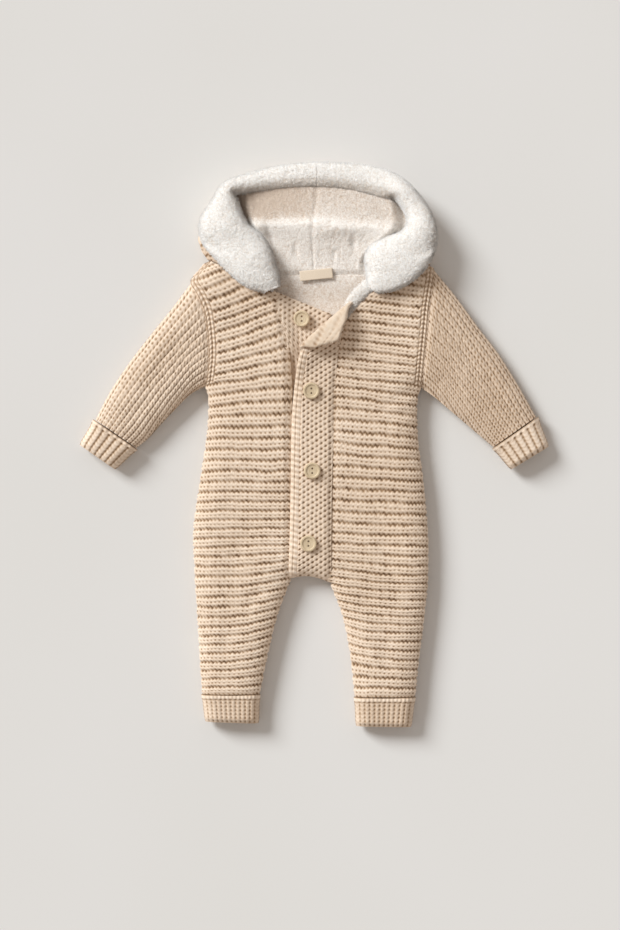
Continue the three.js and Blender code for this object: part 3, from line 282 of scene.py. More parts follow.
def hashed(cells: np.ndarray, seed: int) -> np.ndarray:
    """A fixed number from 0 to 1 for each whole-numbered cell, the same on every run."""
    mixed = np.sin(cells @ np.array([127.1, 311.7, 74.7]) + seed * 19.19) * 43758.5453
    return mixed - np.floor(mixed)


def value_noise(points: np.ndarray, size: float, seed: int) -> np.ndarray:
    """Smooth noise from -1 to 1 over points in millimetres, with patches of the given size."""
    scaled = points / size
    base = np.floor(scaled)
    part = scaled - base
    part = part * part * (3 - 2 * part)
    total = np.zeros(len(points))
    for corner in np.ndindex(2, 2, 2):
        step = np.array(corner)
        weight = np.prod(np.where(step, part, 1 - part), axis=1)
        total += weight * hashed(base + step, seed)
    return total * 2 - 1


def clumps(points: np.ndarray, size: float, seed: int) -> np.ndarray:
    """Rounded clumps like the curls of a pile: 1 at the middle of a curl, 0 between curls."""
    base = np.floor(points / size)
    nearest = np.full(len(points), 9.0)
    for corner in np.ndindex(3, 3, 3):
        cell = base + np.array(corner) - 1
        offset = np.stack([hashed(cell, seed + k) for k in range(3)], axis=-1)
        away = ((cell + offset) * size - points) / size
        nearest = np.minimum(nearest, (away**2).sum(axis=1))
    return np.clip(1 - nearest, 0, 1)


class Outline:
    """The garment's outline, each stretch run with the garment on its left hand."""

    def __init__(self) -> None:
        """Walks the sleeves, the sides, the legs and the crotch."""
        def walk(table: Table, name: str, start: float, stop: float, count: int) -> np.ndarray:
            return table.point(name, np.linspace(start, stop, count + 1))

        crotch = crotch_point(np.linspace(0, 1, 9))
        stretches = [
            np.vstack([walk(LEFT_FRONT, "side", 0, 2, 4), walk(LEFT_SLEEVE, "up", 0.05, 1, 16)]),
            np.vstack([
                walk(LEFT_SLEEVE, "low", 1, 0.05, 12),
                walk(LEFT_FRONT, "side", FIRST_SIDE_RIDGE, RIDGES, 40),
            ]),
            np.vstack([
                walk(LEFT_FRONT, "inner", RIDGES, LAST_BODY_RIDGE + 0.5, 16), crotch,
                walk(RIGHT_FRONT, "inner", LAST_BODY_RIDGE + 0.5, RIDGES, 16),
            ]),
            np.vstack([
                walk(RIGHT_FRONT, "side", RIDGES, FIRST_SIDE_RIDGE, 40),
                walk(RIGHT_SLEEVE, "low", 0.05, 1, 12),
            ]),
            walk(RIGHT_SLEEVE, "up", 1, 0, 16),
        ]
        self.starts = np.vstack([stretch[:-1] for stretch in stretches])
        self.runs = np.vstack([np.diff(stretch, axis=0) for stretch in stretches])

    def nearest(self, points: np.ndarray) -> tuple[np.ndarray, np.ndarray]:
        """Measures points against the outline.

        Args:
            points: places of shape (n, 2), in millimetres.

        Returns:
            Each point's distance from the outline, and the direction out of the garment there.
        """
        distances, outs = [], []
        squares = (self.runs**2).sum(axis=1)
        sideways = np.stack([self.runs[:, 1], -self.runs[:, 0]], axis=-1) / np.sqrt(squares)[:, None]
        for chunk in np.array_split(points, max(1, len(points) // 6000)):
            away = chunk[:, None, :] - self.starts[None]
            t = np.clip((away * self.runs[None]).sum(axis=2) / squares, 0, 1)
            to_edge = t[..., None] * self.runs[None] - away
            gap = np.sqrt((to_edge**2).sum(axis=2))
            best = gap.argmin(axis=1)
            rows = np.arange(len(chunk))
            distance = gap[rows, best]
            towards = to_edge[rows, best] / np.maximum(distance, 1e-9)[:, None]
            outs.append(np.where(distance[:, None] < 1, sideways[best], towards))
            distances.append(distance)
        return np.concatenate(distances), np.concatenate(outs)


def on_ridge(table: Table, ridge: np.ndarray, across: np.ndarray) -> np.ndarray:
    """Points of shape (n, 2) on the garter ridges of a front, from its side to its inner end."""
    side, inner = table.point("side", ridge), table.point("inner", ridge)
    bend = np.maximum(table.read("bend", ridge), 1)
    x = mix(side[:, 0], inner[:, 0], across)
    y = mix(side[:, 1], inner[:, 1], across**bend)
    return np.stack([x, y], axis=-1)


def crotch_point(across: np.ndarray) -> np.ndarray:
    """Points of shape (n, 2) on the arch of the crotch, from the left leg to the right."""
    left = LEFT_FRONT.point("inner", np.full_like(across, LAST_BODY_RIDGE))
    right = RIGHT_FRONT.point("inner", np.full_like(across, LAST_BODY_RIDGE))
    return mix(left, right, across) + np.stack([0 * across, 5 * np.sin(np.pi * across)], axis=-1)


def slack(points: np.ndarray) -> np.ndarray:
    """Gentle unevenness, in millimetres, of cloth that was patted flat by hand."""
    x, y = points[:, 0], points[:, 1]
    return 0.6 * np.sin(x / 41 + 1.3) * np.sin(y / 57 + 0.4) + 0.4 * np.sin((x + y) / 33)


# Creases laid by hand: middle, direction in degrees, half length, half width and depth in millimetres.
CREASES = Table(
    "number x y angle length width depth",
    (0, -108, 60, 152, 34, 7, 1.6), (1, -98, 42, 160, 26, 6, 1.1), (2, 104, 58, 24, 36, 7, 1.7),
    (3, 97, 36, 16, 24, 6, 1.0), (4, -84, -120, 72, 52, 10, 0.9), (5, 78, -118, 104, 60, 11, 1.0),
    (6, -60, -160, 40, 26, 8, 1.3), (7, 56, -168, 136, 30, 8, 1.4), (8, -160, 100, 50, 30, 6, 1.0),
    (9, 172, 92, 128, 44, 7, 1.5), (10, 196, 66, 118, 30, 6, 1.2), (11, 150, 70, 140, 26, 6, 1.1),
    (12, -186, 44, 44, 22, 5, 0.9), (13, -92, 128, 12, 30, 9, 0.8), (14, 84, 116, 172, 32, 9, 0.9),
    (15, -98, -222, 84, 34, 8, 0.8), (16, 78, -226, 98, 30, 8, 0.8),
)

# Short folds of the hood's lining, in the same columns; a fold of negative depth stands up.
HOOD_FOLDS = Table(
    "number x y angle length width depth",
    (0, 43, 221, 104, 10, 3.2, 2.6), (1, 92, 213, 108, 9, 3.0, 2.4), (2, -46, 222, 112, 20, 3.6, 2.6),
    (3, 22, 209, 80, 8, 3.0, 1.2), (4, -20, 214, 96, 9, 3.4, 1.2), (5, 66, 232, 150, 12, 4.0, 1.6),
    (6, -59, 241, 38, 16, 9.0, -2.8), (7, 24, 235, 6, 28, 6.0, -1.5), (8, 80, 250, 142, 24, 6.0, 1.8),
)


def fold_depth(points: np.ndarray) -> np.ndarray:
    """How deep the short folds of the hood's lining are at points of shape (n, 2)."""
    return trough_depth(points, HOOD_FOLDS)


def crease_depth(points: np.ndarray) -> np.ndarray:
    """How deep the soft troughs of the main creases are at points of shape (n, 2)."""
    return trough_depth(points, CREASES)


def trough_depth(points: np.ndarray, troughs: Table) -> np.ndarray:
    """How deep a table's soft, slightly bowed troughs are at points of shape (n, 2)."""
    total = np.zeros(len(points))
    for _, x, y, angle, length, width, depth in zip(*troughs.columns.values()):
        turn = math.radians(angle)
        along = (points[:, 0] - x) * math.cos(turn) + (points[:, 1] - y) * math.sin(turn)
        over = (points[:, 1] - y) * math.cos(turn) - (points[:, 0] - x) * math.sin(turn)
        bow = over + 0.12 * length * (along / length) ** 2
        total += depth * np.exp(-((along / length) ** 2) * 1.6) * bell(bow, width)
    return total


OUTLINE = Outline()


def edge_arch(points: np.ndarray) -> np.ndarray:
    """How far up its arch the cloth is at points of shape (n, 2), from 0 to 1."""
    return arch_at(OUTLINE.nearest(points)[0])


class Stitch(Enum):
    """The knit patterns of the garment."""

    GARTER = "garter ridges"
    SEED = "seed stitch"
    FISHERMAN = "half-fisherman rib"
    RIB = "turned-back rib"


def knit_relief(
    stitch: Stitch, a: np.ndarray, b: np.ndarray, bead: float = 0.4,
) -> tuple[np.ndarray, np.ndarray]:
    """The form of a knit pattern.

    Args:
        stitch: the pattern.
        a: place across the rows, where one row or rib is 1.
        b: place along a row, where one stitch is 1.
        bead: how far the separate strands stand out along a garter ridge, in millimetres.

    Returns:
        Height above the mean face in millimetres, and how deep in a groove each place is, 0 to 1, which the
        materials paint as shade.
    """
    f, s = a - np.floor(a), b - np.floor(b)
    cell = np.stack([np.floor(a + 0.5), np.floor(b), 0 * a], axis=-1)
    uneven = hashed(cell, 5) - 0.5
    if stitch is Stitch.GARTER:
        below = a - np.round(a)
        scallop = 0.09 * ripple(b + 0.25)
        groove = bell(below - scallop, 0.15) * (0.84 + 0.5 * uneven)
        middle = bell(f - 0.52, 0.1)
        hole = middle * bell(s - 0.5, 0.23) * (1 + 0.6 * uneven)
        strand = ripple(b + 0.8 * f + 0.06)
        between = (1 - np.clip(groove, 0, 1)) * (1 - middle)
        height = 1.25 - 2.3 * groove - 0.9 * hole - 0.25 * middle + bead * strand * between + 0.35 * uneven
        shade = groove * (0.8 + 0.2 * ripple(b + 0.5)) + 0.62 * hole + 0.12 * middle
        return height, np.clip(shade + 0.45 * bead * between * (0.5 - strand / 2) ** 2, 0, 1)
    if stitch is Stitch.FISHERMAN:
        below = a - np.round(a) - 0.05 * ripple(b)
        line = bell(below, 0.12)
        spot = line * (0.5 + 0.5 * ripple(b + 0.25)) * (1 + 0.6 * uneven)
        tilted = f - 0.5 + 0.12 * (s - 0.5)
        hole = np.exp(-((tilted / 0.17) ** 2) - (((s - 0.5) / 0.27) ** 2)) * (1 + 0.6 * uneven)
        strand = ripple(b + 0.7 * f)
        height = 1.1 * np.sin(np.pi * f) ** 0.6 - 0.4 - 1.0 * line - 0.9 * spot - 1.2 * hole
        height = height + bead * strand * (1 - line)
        return height, np.clip(0.3 * line + 0.5 * spot + 0.66 * hole + 0.14 * (0.5 - strand / 2) ** 2, 0, 1)
    if stitch is Stitch.SEED:
        hole = np.zeros_like(a)
        for shift in (0.0, 0.5):
            row, column = a + shift, b + shift
            up, right = row - np.round(row), column - np.round(column)
            cell = np.stack([np.round(row), np.round(column), 0 * a + shift], axis=-1)
            size = 1 + 0.35 * (hashed(cell, 9) - 0.5)
            hole += size * np.exp(-((up / 0.24) ** 2) - (((right - 0.16 * up) / 0.14) ** 2))
        strand = -np.cos(4 * np.pi * (b - a))
        height = 0.75 - 1.7 * hole + 0.3 * strand
        return height, np.clip(0.7 * hole + 0.18 * (0.5 - strand / 2), 0, 1)
    groove = bell(np.minimum(f, 1 - f), 0.15)
    chevron = ripple(b + 1.1 * np.abs(f - 0.5))
    height = 0.6 - 1.2 * groove + bead * chevron * (0.4 + 0.6 * groove)
    shade = 0.56 * groove * (1 - 0.5 * bead * (1 + chevron)) + 0.2 * (0.5 - chevron / 2) ** 3
    return height, np.clip(shade, 0, 1)


def chain_relief(inside: np.ndarray, along: np.ndarray) -> tuple[np.ndarray, np.ndarray, np.ndarray]:
    """The double chain of links that sews an armhole.

    Args:
        inside: distance from the armhole's line in millimetres.
        along: distance along it in millimetres.

    Returns:
        Height in millimetres, groove depth from 0 to 1, which the materials paint as shade, and how much of
        the chain is here, 0 to 1.
    """
    share = smooth(inside, 0.2, 1.0) * (1 - smooth(inside, 8.2, 9.4))
    column = (inside - 1.0) / 3.7
    f = column - np.floor(column)
    side = np.where(np.floor(column) % 2 == 0, 1.0, -1.0)
    link = ripple(along / 5.2 + side * 0.42 * (f - 0.5))
    crown = np.sin(np.pi * f) ** 0.7
    height = 2.3 * crown * (0.72 + 0.28 * link) - 0.4
    return height, np.clip(0.66 - 0.66 * crown * (0.7 + 0.3 * link), 0, 1), share


@dataclass
class Sampled:
    """A face of cloth at many spots: places in mm, groove depth from 0 to 1 that sets painted shade, and
    stitch map.
    """

    places: np.ndarray
    depth: np.ndarray
    stitches: np.ndarray


Face = Callable[[np.ndarray, np.ndarray], Sampled]


def plain(points: np.ndarray, heights: np.ndarray | float, depth: float = 0.25) -> Sampled:
    """A face with no relief, from points of shape (n, 2) and their heights."""
    z = np.broadcast_to(np.asarray(heights, dtype=float), (len(points),))
    return Sampled(np.column_stack([points, z]), np.full(len(points), depth), points / STITCH)


def upper_face(
    points: np.ndarray, edge_height: np.ndarray | float, top: np.ndarray | float, lift: np.ndarray,
    roll: float = EDGE_ROLL,
) -> np.ndarray:
    """A rounded upper face, with its knit lifted along the face's own normal.

    Args:
        points: places of shape (n, 2).
        edge_height: the height at the garment's edge.
        top: the mean height away from it.
        lift: the knit's own relief.
        roll: the width over which the face rounds down.

    Returns:
        Places of shape (n, 3).
    """
    distance, out = OUTLINE.nearest(points)
    arch = arch_at(distance, roll)
    level = 1 - np.minimum(distance, roll) / roll
    top_here = top + slack(points) - crease_depth(points)
    z = edge_height + (top_here - edge_height) * arch
    return np.column_stack([points + out * (lift * level)[:, None], z + lift * arch])


def stitch_x(points: np.ndarray) -> np.ndarray:
    """Stitch columns over points of shape (n, 2), closer together where the edge turns down."""
    distance, out = OUTLINE.nearest(points)
    turned = 6 * (1 - np.clip(distance / EDGE_ROLL, 0, 1)) ** 2
    return (points[:, 0] + out[:, 0] * turned) / STITCH


class Patch:
    """A mesh of cloth under construction, made of grids that are bent to their faces and joined."""

    def __init__(self, name: str) -> None:
        """Starts an empty mesh with its stitch map and its groove depth, which sets painted shade."""
        self.name = name
        self.bm = bmesh.new()
        self.map = self.bm.loops.layers.uv.new("Stitches")
        self.depth = self.bm.verts.layers.float.new("depth")
        self.borders: list[list[list[bmesh.types.BMVert]]] = []
        self.skins: list[dict[tuple[float, float], bmesh.types.BMVert]] = []

    def add(
        self, face: Face, along: int, across: int, finish: int = 0, tube: bool = False,
        open_at: Callable[[float, float], bool] | None = None,
    ) -> None:
        """Adds one face as a grid.

        Args:
            face: gives the face's places from (along, across), each from 0 to 1.
            along: the grid's steps along the piece.
            across: the grid's steps across it.
            finish: the material's place in the piece's list.
            tube: joins the grid's two sides.
            open_at: says where, by (along, across), the grid is left open.
        """
        bm = self.bm
        made = bmesh.ops.create_grid(bm, x_segments=across, y_segments=along, size=1.0)["verts"]
        if open_at:
            cells = {polygon for vert in made for polygon in vert.link_faces}
            middles = {cell: (cell.calc_center_median() + Vector((1, 1, 0))) / 2 for cell in cells}
            gap = [cell for cell, middle in middles.items() if open_at(middle.y, middle.x)]
            bmesh.ops.delete(bm, geom=gap, context="FACES")
            made = [vert for vert in made if vert.is_valid]
        spots = (np.array([vert.co[:2] for vert in made]) + 1) / 2
        sampled = face(spots[:, 1], spots[:, 0])
        places = (sampled.places + CENTRE) * MM
        for number, vert in enumerate(made):
            vert.co = places[number]
            vert[self.depth] = sampled.depth[number]
            vert.index = number
        for polygon in {polygon for vert in made for polygon in vert.link_faces}:
            polygon.smooth = True
            polygon.material_index = finish
            for loop in polygon.loops:
                loop[self.map].uv = sampled.stitches[loop.vert.index]
        self.skins.append(dict(zip(map(tuple, spots.round(5).tolist()), made)))
        borders = []
        for axis, other, value in ((1, 0, 0.0), (1, 0, 1.0), (0, 1, 0.0), (0, 1, 1.0)):
            numbers = np.flatnonzero(np.abs(spots[:, axis] - value) < 1e-5)
            borders.append([made[number] for number in numbers[np.argsort(spots[numbers, other])]])
        if tube:
            skin = self.skins[-1]
            meeting = {skin[1.0, place]: skin[0.0, place] for across_at, place in skin if across_at == 0}
            bmesh.ops.weld_verts(bm, targetmap=meeting)
            borders = [self.closed(border) for border in borders[:2]]
        self.borders.append(borders)

    @staticmethod
    def closed(border: list[bmesh.types.BMVert]) -> list[bmesh.types.BMVert]:
        """A tube's border as a ring, after its two sides have been joined."""
        ring = [vert for vert in border if vert.is_valid]
        if not border[0].is_valid:
            ring = ring[-1:] + ring[:-1]
        return ring + ring[:1]

    def wall_all_round(self) -> None:
        """Joins two faces that have the same outline and the same steps."""
        first, second = self.skins
        spot = {vert: place for place, vert in first.items()}
        rim = [edge for edge in self.bm.edges if edge.is_boundary and edge.verts[0] in spot]
        for edge in rim:
            a, b = (spot[vert] for vert in edge.verts)
            self.bm.faces.new((first[a], first[b], second[b], second[a])).smooth = True

    def wall_sides(self) -> None:
        """Joins two faces of four sides, or the two skins of a tube, side by side."""
        for first, second in zip(*self.borders):
            self.wall(first, second)

    def wall(self, first: list[bmesh.types.BMVert], second: list[bmesh.types.BMVert]) -> None:
        """Joins two borders that run the same way, with triangles where their steps differ."""
        i, j = 0, 0
        last_i, last_j = len(first) - 1, len(second) - 1
        while i < last_i or j < last_j:
            gap = (i + 1) * last_j - (j + 1) * last_i
            corners = [first[i], second[j]]
            if gap >= 0 and j < last_j:
                j += 1
                corners.append(second[j])
            if gap <= 0 and i < last_i:
                i += 1
                corners.append(first[i])
            self.bm.faces.new(corners).smooth = True

    def close_ends(self) -> None:
        """Fills the open ends of a roll."""
        edges = [e for e in self.bm.edges if e.is_boundary]
        bmesh.ops.holes_fill(self.bm, edges=edges, sides=0)

    def finish(self, *materials: bpy.types.Material) -> bpy.types.Object:
        """Turns the faces outwards and makes the object."""
        bmesh.ops.recalc_face_normals(self.bm, faces=self.bm.faces)
        mesh = bpy.data.meshes.new(self.name)
        self.bm.to_mesh(mesh)
        self.bm.free()
        for material in materials:
            mesh.materials.append(material)
        made = bpy.data.objects.new(self.name, mesh)
        bpy.context.scene.collection.objects.link(made)
        return made


def wall_of(
    name: str, faces: Sequence[tuple[Face, int, int]], material: bpy.types.Material, tube: bool = False,
) -> bpy.types.Object:
    """Makes a wall of cloth from two faces that meet all round.

    Args:
        name: the piece's name.
        faces: each face, with its steps along and across the piece.
        material: the cloth.
        tube: joins each face's two sides, as on a sleeve.

    Returns:
        The finished object.
    """
    patch = Patch(name)
    for face, along, across in faces:
        patch.add(face, along, across, tube=tube)
    patch.wall_sides()
    return patch.finish(material)


def linear(code: str) -> tuple[float, float, float, float]:
    """Turns an sRGB hex colour into linear red, green, blue and alpha."""
    channels = [int(code[i:i + 2], 16) / 255 for i in (1, 3, 5)]
    return (*(c / 12.92 if c <= 0.04045 else ((c + 0.055) / 1.055) ** 2.4 for c in channels), 1.0)


def add_node(
    tree: bpy.types.NodeTree, kind: str, inputs: dict | None = None, **settings: object,
) -> bpy.types.Node:
    """Adds a shader node.

    Args:
        tree: the material's node tree.
        kind: the node's type.
        inputs: values or output sockets for its inputs, by name or place.
        settings: the node's own settings.

    Returns:
        The node.
    """
    node = tree.nodes.new(kind)
    for name, value in settings.items():
        setattr(node, name, value)
    for key, value in (inputs or {}).items():
        if isinstance(value, bpy.types.NodeSocket):
            tree.links.new(value, node.inputs[key])
        else:
            node.inputs[key].default_value = value
    return node


def ramp(
    tree: bpy.types.NodeTree, level: bpy.types.NodeSocket, *stops: tuple[float, str],
) -> bpy.types.NodeSocket:
    """A colour ramp over a level, with stops that are each a place and a hex colour."""
    node = add_node(tree, "ShaderNodeValToRGB", {"Fac": level})
    elements = node.color_ramp.elements
    while len(elements) > 1:
        elements.remove(elements[-1])
    for i, (place, code) in enumerate(stops):
        element = elements[0] if i == 0 else elements.new(place)
        element.position = place
        element.color = linear(code)
    return node.outputs["Color"]


def noise(
    tree: bpy.types.NodeTree, place: bpy.types.NodeSocket, size: float, detail: float,
    roughness: float = 0.5,
) -> bpy.types.NodeSocket:
    """Noise over a place, with patches of a size in millimetres."""
    node = add_node(tree, "ShaderNodeTexNoise", {
        "Vector": place, "Scale": 1 / (size * MM), "Detail": detail, "Roughness": roughness,
    })
    return node.outputs["Fac"]


def scaled(
    tree: bpy.types.NodeTree, value: bpy.types.NodeSocket, factor: float,
    start: bpy.types.NodeSocket | float,
) -> bpy.types.NodeSocket:
    """A value times a factor, added to a start that may be another value."""
    node = add_node(tree, "ShaderNodeMath", {0: value, 1: factor, 2: start}, operation="MULTIPLY_ADD")
    return node.outputs[0]


def new_material(
    name: str,
) -> tuple[bpy.types.Material, bpy.types.NodeTree, bpy.types.NodeSocket]:
    """Makes an empty node material, and gives the place on the object that its patterns read."""
    material = bpy.data.materials.new(name)
    material.use_nodes = True
    tree = material.node_tree
    tree.nodes.clear()
    return material, tree, add_node(tree, "ShaderNodeTexCoord").outputs["Object"]


def finish_surface(
    tree: bpy.types.NodeTree, colour: bpy.types.NodeSocket, look: dict[str, float],
    height: bpy.types.NodeSocket | None = None, strength: float = 1.0, distance: float = 1.0,
) -> None:
    """Ends a material with its shader.

    Args:
        tree: the material's node tree.
        colour: the surface's colour.
        look: the shader's constants, by the names of its inputs.
        height: the finest relief, which only bends the light.
        strength: how strongly it does.
        distance: how high that relief is, in millimetres.
    """
    shader = add_node(tree, "ShaderNodeBsdfPrincipled", {"Base Color": colour, **look})
    if height:
        add = {"Height": height, "Strength": strength, "Distance": distance * MM}
        bump = add_node(tree, "ShaderNodeBump", add)
        tree.links.new(bump.outputs["Normal"], shader.inputs["Normal"])
    add_node(tree, "ShaderNodeOutputMaterial", {"Surface": shader.outputs["BSDF"]})


@dataclass(frozen=True)
class SpunYarn:
    """Chunky cotton yarn, spun from pale and tan fibres: mottled, with painted brown shade in its grooves.
    """

    name: str
    crest: str = "#fff4e6"
    face: str = "#f0dbc5"
    # groove and deep are painted shade: the colours of the knit's grooves and holes
    groove: str = "#a68767"
    deep: str = "#745940"
    fibre: float = 1.1  # width in mm of the plies that show
    fuzz: float = 0.5

    def build(self) -> bpy.types.Material:
        """Makes the material: depth in the knit sets its painted shade, and the plies its bump."""
        material, tree, place = new_material(self.name)
        depth = add_node(tree, "ShaderNodeAttribute", attribute_name="depth").outputs["Fac"]
        plies = noise(tree, place, self.fibre, 3.0, 0.6)
        scatter = scaled(tree, noise(tree, place, 3.2, 2.0), 0.34, -0.17)
        drift = scaled(tree, noise(tree, place, 60, 1.0), 0.24, scatter)
        level = add_node(tree, "ShaderNodeMath", {0: depth, 1: drift}, operation="ADD").outputs[0]
        stops = (0.0, self.crest), (0.22, self.face), (0.72, self.groove), (1.0, self.deep)
        finish_surface(tree, ramp(tree, level, *stops), {
            "Roughness": 0.92, "Sheen Weight": 0.25, "Sheen Roughness": 0.6, "Specular IOR Level": 0.2,
        }, plies, self.fuzz, 0.5)
        return material


@dataclass(frozen=True)
class SherpaFleece:
    """Polyester sherpa: short curled pile, matt and off-white, with painted warmer shade between the curls.
    """

    name: str
    tip: str = "#fdfbf8"
    # root is painted shade: the colour between the curls and in the hood's pocket
    root: str = "#e2d5c7"
    curl: float = 1.9  # width in mm of one curl

    def build(self) -> bpy.types.Material:
        """Makes the material: curls as bump and as a light and dark grain."""
        material, tree, place = new_material(self.name)
        depth = add_node(tree, "ShaderNodeAttribute", attribute_name="depth").outputs["Fac"]
        pattern = {"Vector": place, "Scale": 1 / (self.curl * MM)}
        curls = add_node(tree, "ShaderNodeTexVoronoi", pattern).outputs["Distance"]
        fibres = noise(tree, place, 0.9, 3.0, 0.7)
        stops = (0.0, self.tip), (0.28, self.tip), (1.0, self.root)
        finish_surface(tree, ramp(tree, scaled(tree, curls, 0.62, depth), *stops), {
            "Roughness": 0.95, "Sheen Weight": 1.0, "Sheen Roughness": 0.4, "Specular IOR Level": 0.15,
        }, scaled(tree, curls, -0.8, fibres), 0.45, 0.9)
        return material


@dataclass(frozen=True)
class TurnedWood:
    """Turned pale wood under a thin satin varnish: fine straight grain and a soft highlight."""

    name: str
    light: str = "#e0cfb2"
    dark: str = "#c9b391"

    def build(self) -> bpy.types.Material:
        """Makes the material: grain bands 0.6 mm apart, pulled along one way."""
        material, tree, place = new_material(self.name)
        pulled = add_node(tree, "ShaderNodeMapping", {"Vector": place, "Scale": (1.0, 0.12, 1.0)})
        grain = noise(tree, pulled.outputs["Vector"], 0.6, 3.0)
        finish_surface(tree, ramp(tree, grain, (0.3, self.dark), (0.7, self.light)), {
            "Roughness": 0.45, "Specular IOR Level": 0.4, "Coat Weight": 0.15, "Coat Roughness": 0.35,
        }, grain, 0.1, 0.1)
        return material


@dataclass(frozen=True)
class WovenTape:
    """Plain woven cotton tape: cream, matt, with fine cross threads."""

    name: str
    colour: str = "#f1e3d0"
    shade: str = "#d8c3a8"

    def build(self) -> bpy.types.Material:
        """Makes the material: threads 0.7 mm apart, coarser than real so that they show."""
        material, tree, place = new_material(self.name)
        threads = add_node(tree, "ShaderNodeTexWave", {
            "Vector": place, "Scale": 0.31 / (0.7 * MM), "Distortion": 1.0,
        }, bands_direction="DIAGONAL").outputs["Fac"]
        colour = ramp(tree, threads, (0.0, self.shade), (0.6, self.colour))
        look = {"Roughness": 0.8, "Specular IOR Level": 0.25}
        finish_surface(tree, colour, look, threads, 0.3, 0.2)
        return material


@dataclass(frozen=True)
class PaintedBoard:
    """The plain pale surface under the garment: matt paint, evenly rolled."""

    name: str
    colour: str = "#e7e6e5"
    dull: str = "#e3e2df"

    def build(self) -> bpy.types.Material:
        """Makes the material: one matt colour with faint, large patches."""
        material, tree, place = new_material(self.name)
        colour = ramp(tree, noise(tree, place, 400, 2.0), (0.2, self.dull), (0.8, self.colour))
        finish_surface(tree, colour, {"Roughness": 0.9, "Specular IOR Level": 0.1})
        return material


def declare(
    piece: bpy.types.Object, slot: str, *nodes: str, flat: tuple[float, float] | None = None,
    held: str = "laid", rests_on: Sequence[str] = (),
) -> None:
    """Ties a piece to the frame.

    Args:
        piece: the finished object.
        slot: the record's material slot; not used.
        nodes: the solids that it stands for.
        flat: its cut's width and length in metres, where it is a sheet of cloth; not used.
        held: how the sheet lies; not used.
        rests_on: what the sheet lies on; not used.
    """
    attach(piece, BODY)
    if nodes:
        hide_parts(*nodes)
    log.info("%s: %d faces", piece.name, len(piece.data.polygons))


@dataclass
class FrontPanel:
    """A front: garter ridges from the shoulder to the leg's end, pulled in at its seams."""

    name: str
    table: Table
    flat: tuple[float, float]
    rows_per_ridge: int = 12
    columns: int = 104
    tuck: float = 2.6  # how far its edge goes under the band
    band_dip: float = 1.0

    def outer(self, along: np.ndarray, across: np.ndarray) -> Sampled:
        """The face that shows."""
        ridge, v = along * RIDGES, crowd(across)
        points = on_ridge(self.table, ridge, v)
        width = np.abs(self.table.read("side_x", ridge) - self.table.read("inner_x", ridge))
        by_armhole = 1 - smooth(ridge, FIRST_SIDE_RIDGE - 0.3, FIRST_SIDE_RIDGE + 0.1)
        by_band = smooth(ridge, 5.2, 6.5) * (1 - smooth(ridge, LAST_BODY_RIDGE - 0.5, LAST_BODY_RIDGE))
        from_armhole, from_band = v * width, (1 - v) * width
        tucked = by_band * (1 - smooth(from_band, 0, 2.4))
        points[:, 0] += (1 if self.name == "left_front" else -1) * self.tuck * tucked
        pulled = np.maximum(
            (1 - smooth(from_armhole, 3, 3 + SEAM_DIP_WIDTH)) * by_armhole,
            (1 - smooth(from_band, 0, SEAM_DIP_WIDTH)) * by_band * self.band_dip,
        )
        flat = np.column_stack([points, 0 * v])
        wander = 0.09 * value_noise(flat, 26, 3) + 0.05 * value_noise(flat, 9, 4)
        b = stitch_x(points) + 0.2 * value_noise(flat, 17, 8)
        relief, depth = knit_relief(Stitch.GARTER, ridge + wander, b)
        ends = np.minimum(smooth(ridge, 0, 0.8), smooth(RIDGES - ridge, 0, 0.5))
        relief = relief * (1 - 0.45 * pulled) * ends
        link, link_depth, share = chain_relief(from_armhole, ridge * RIDGE_HEIGHT)
        share = share * by_armhole
        relief, depth = mix(relief, link, share), mix(depth, link_depth, share)
        height = BODY_TOP - SEAM_DIP * pulled - 0.9 * tucked
        places = upper_face(points, FRONT_FLOOR + EDGE_LIP, height, relief)
        # Painted shade where the edge tucks under the band.
        return Sampled(places, np.clip(depth + 0.25 * tucked, 0, 1), np.column_stack([b, ridge]))

    def inner(self, along: np.ndarray, across: np.ndarray) -> Sampled:
        """The face that lies on the back."""
        points = on_ridge(self.table, along * RIDGES, crowd(across))
        return plain(points, FRONT_FLOOR + HALF_HOLLOW * edge_arch(points))

    def build(self, yarn: bpy.types.Material) -> None:
        rows = RIDGES * self.rows_per_ridge
        faces = (self.outer, rows, self.columns), (self.inner, rows // 8, self.columns // 8)
        piece = wall_of(f"{self.name}_knit", faces, yarn)
        declare(piece, "knit", self.name, flat=self.flat, rests_on=["back_panel_knit"])


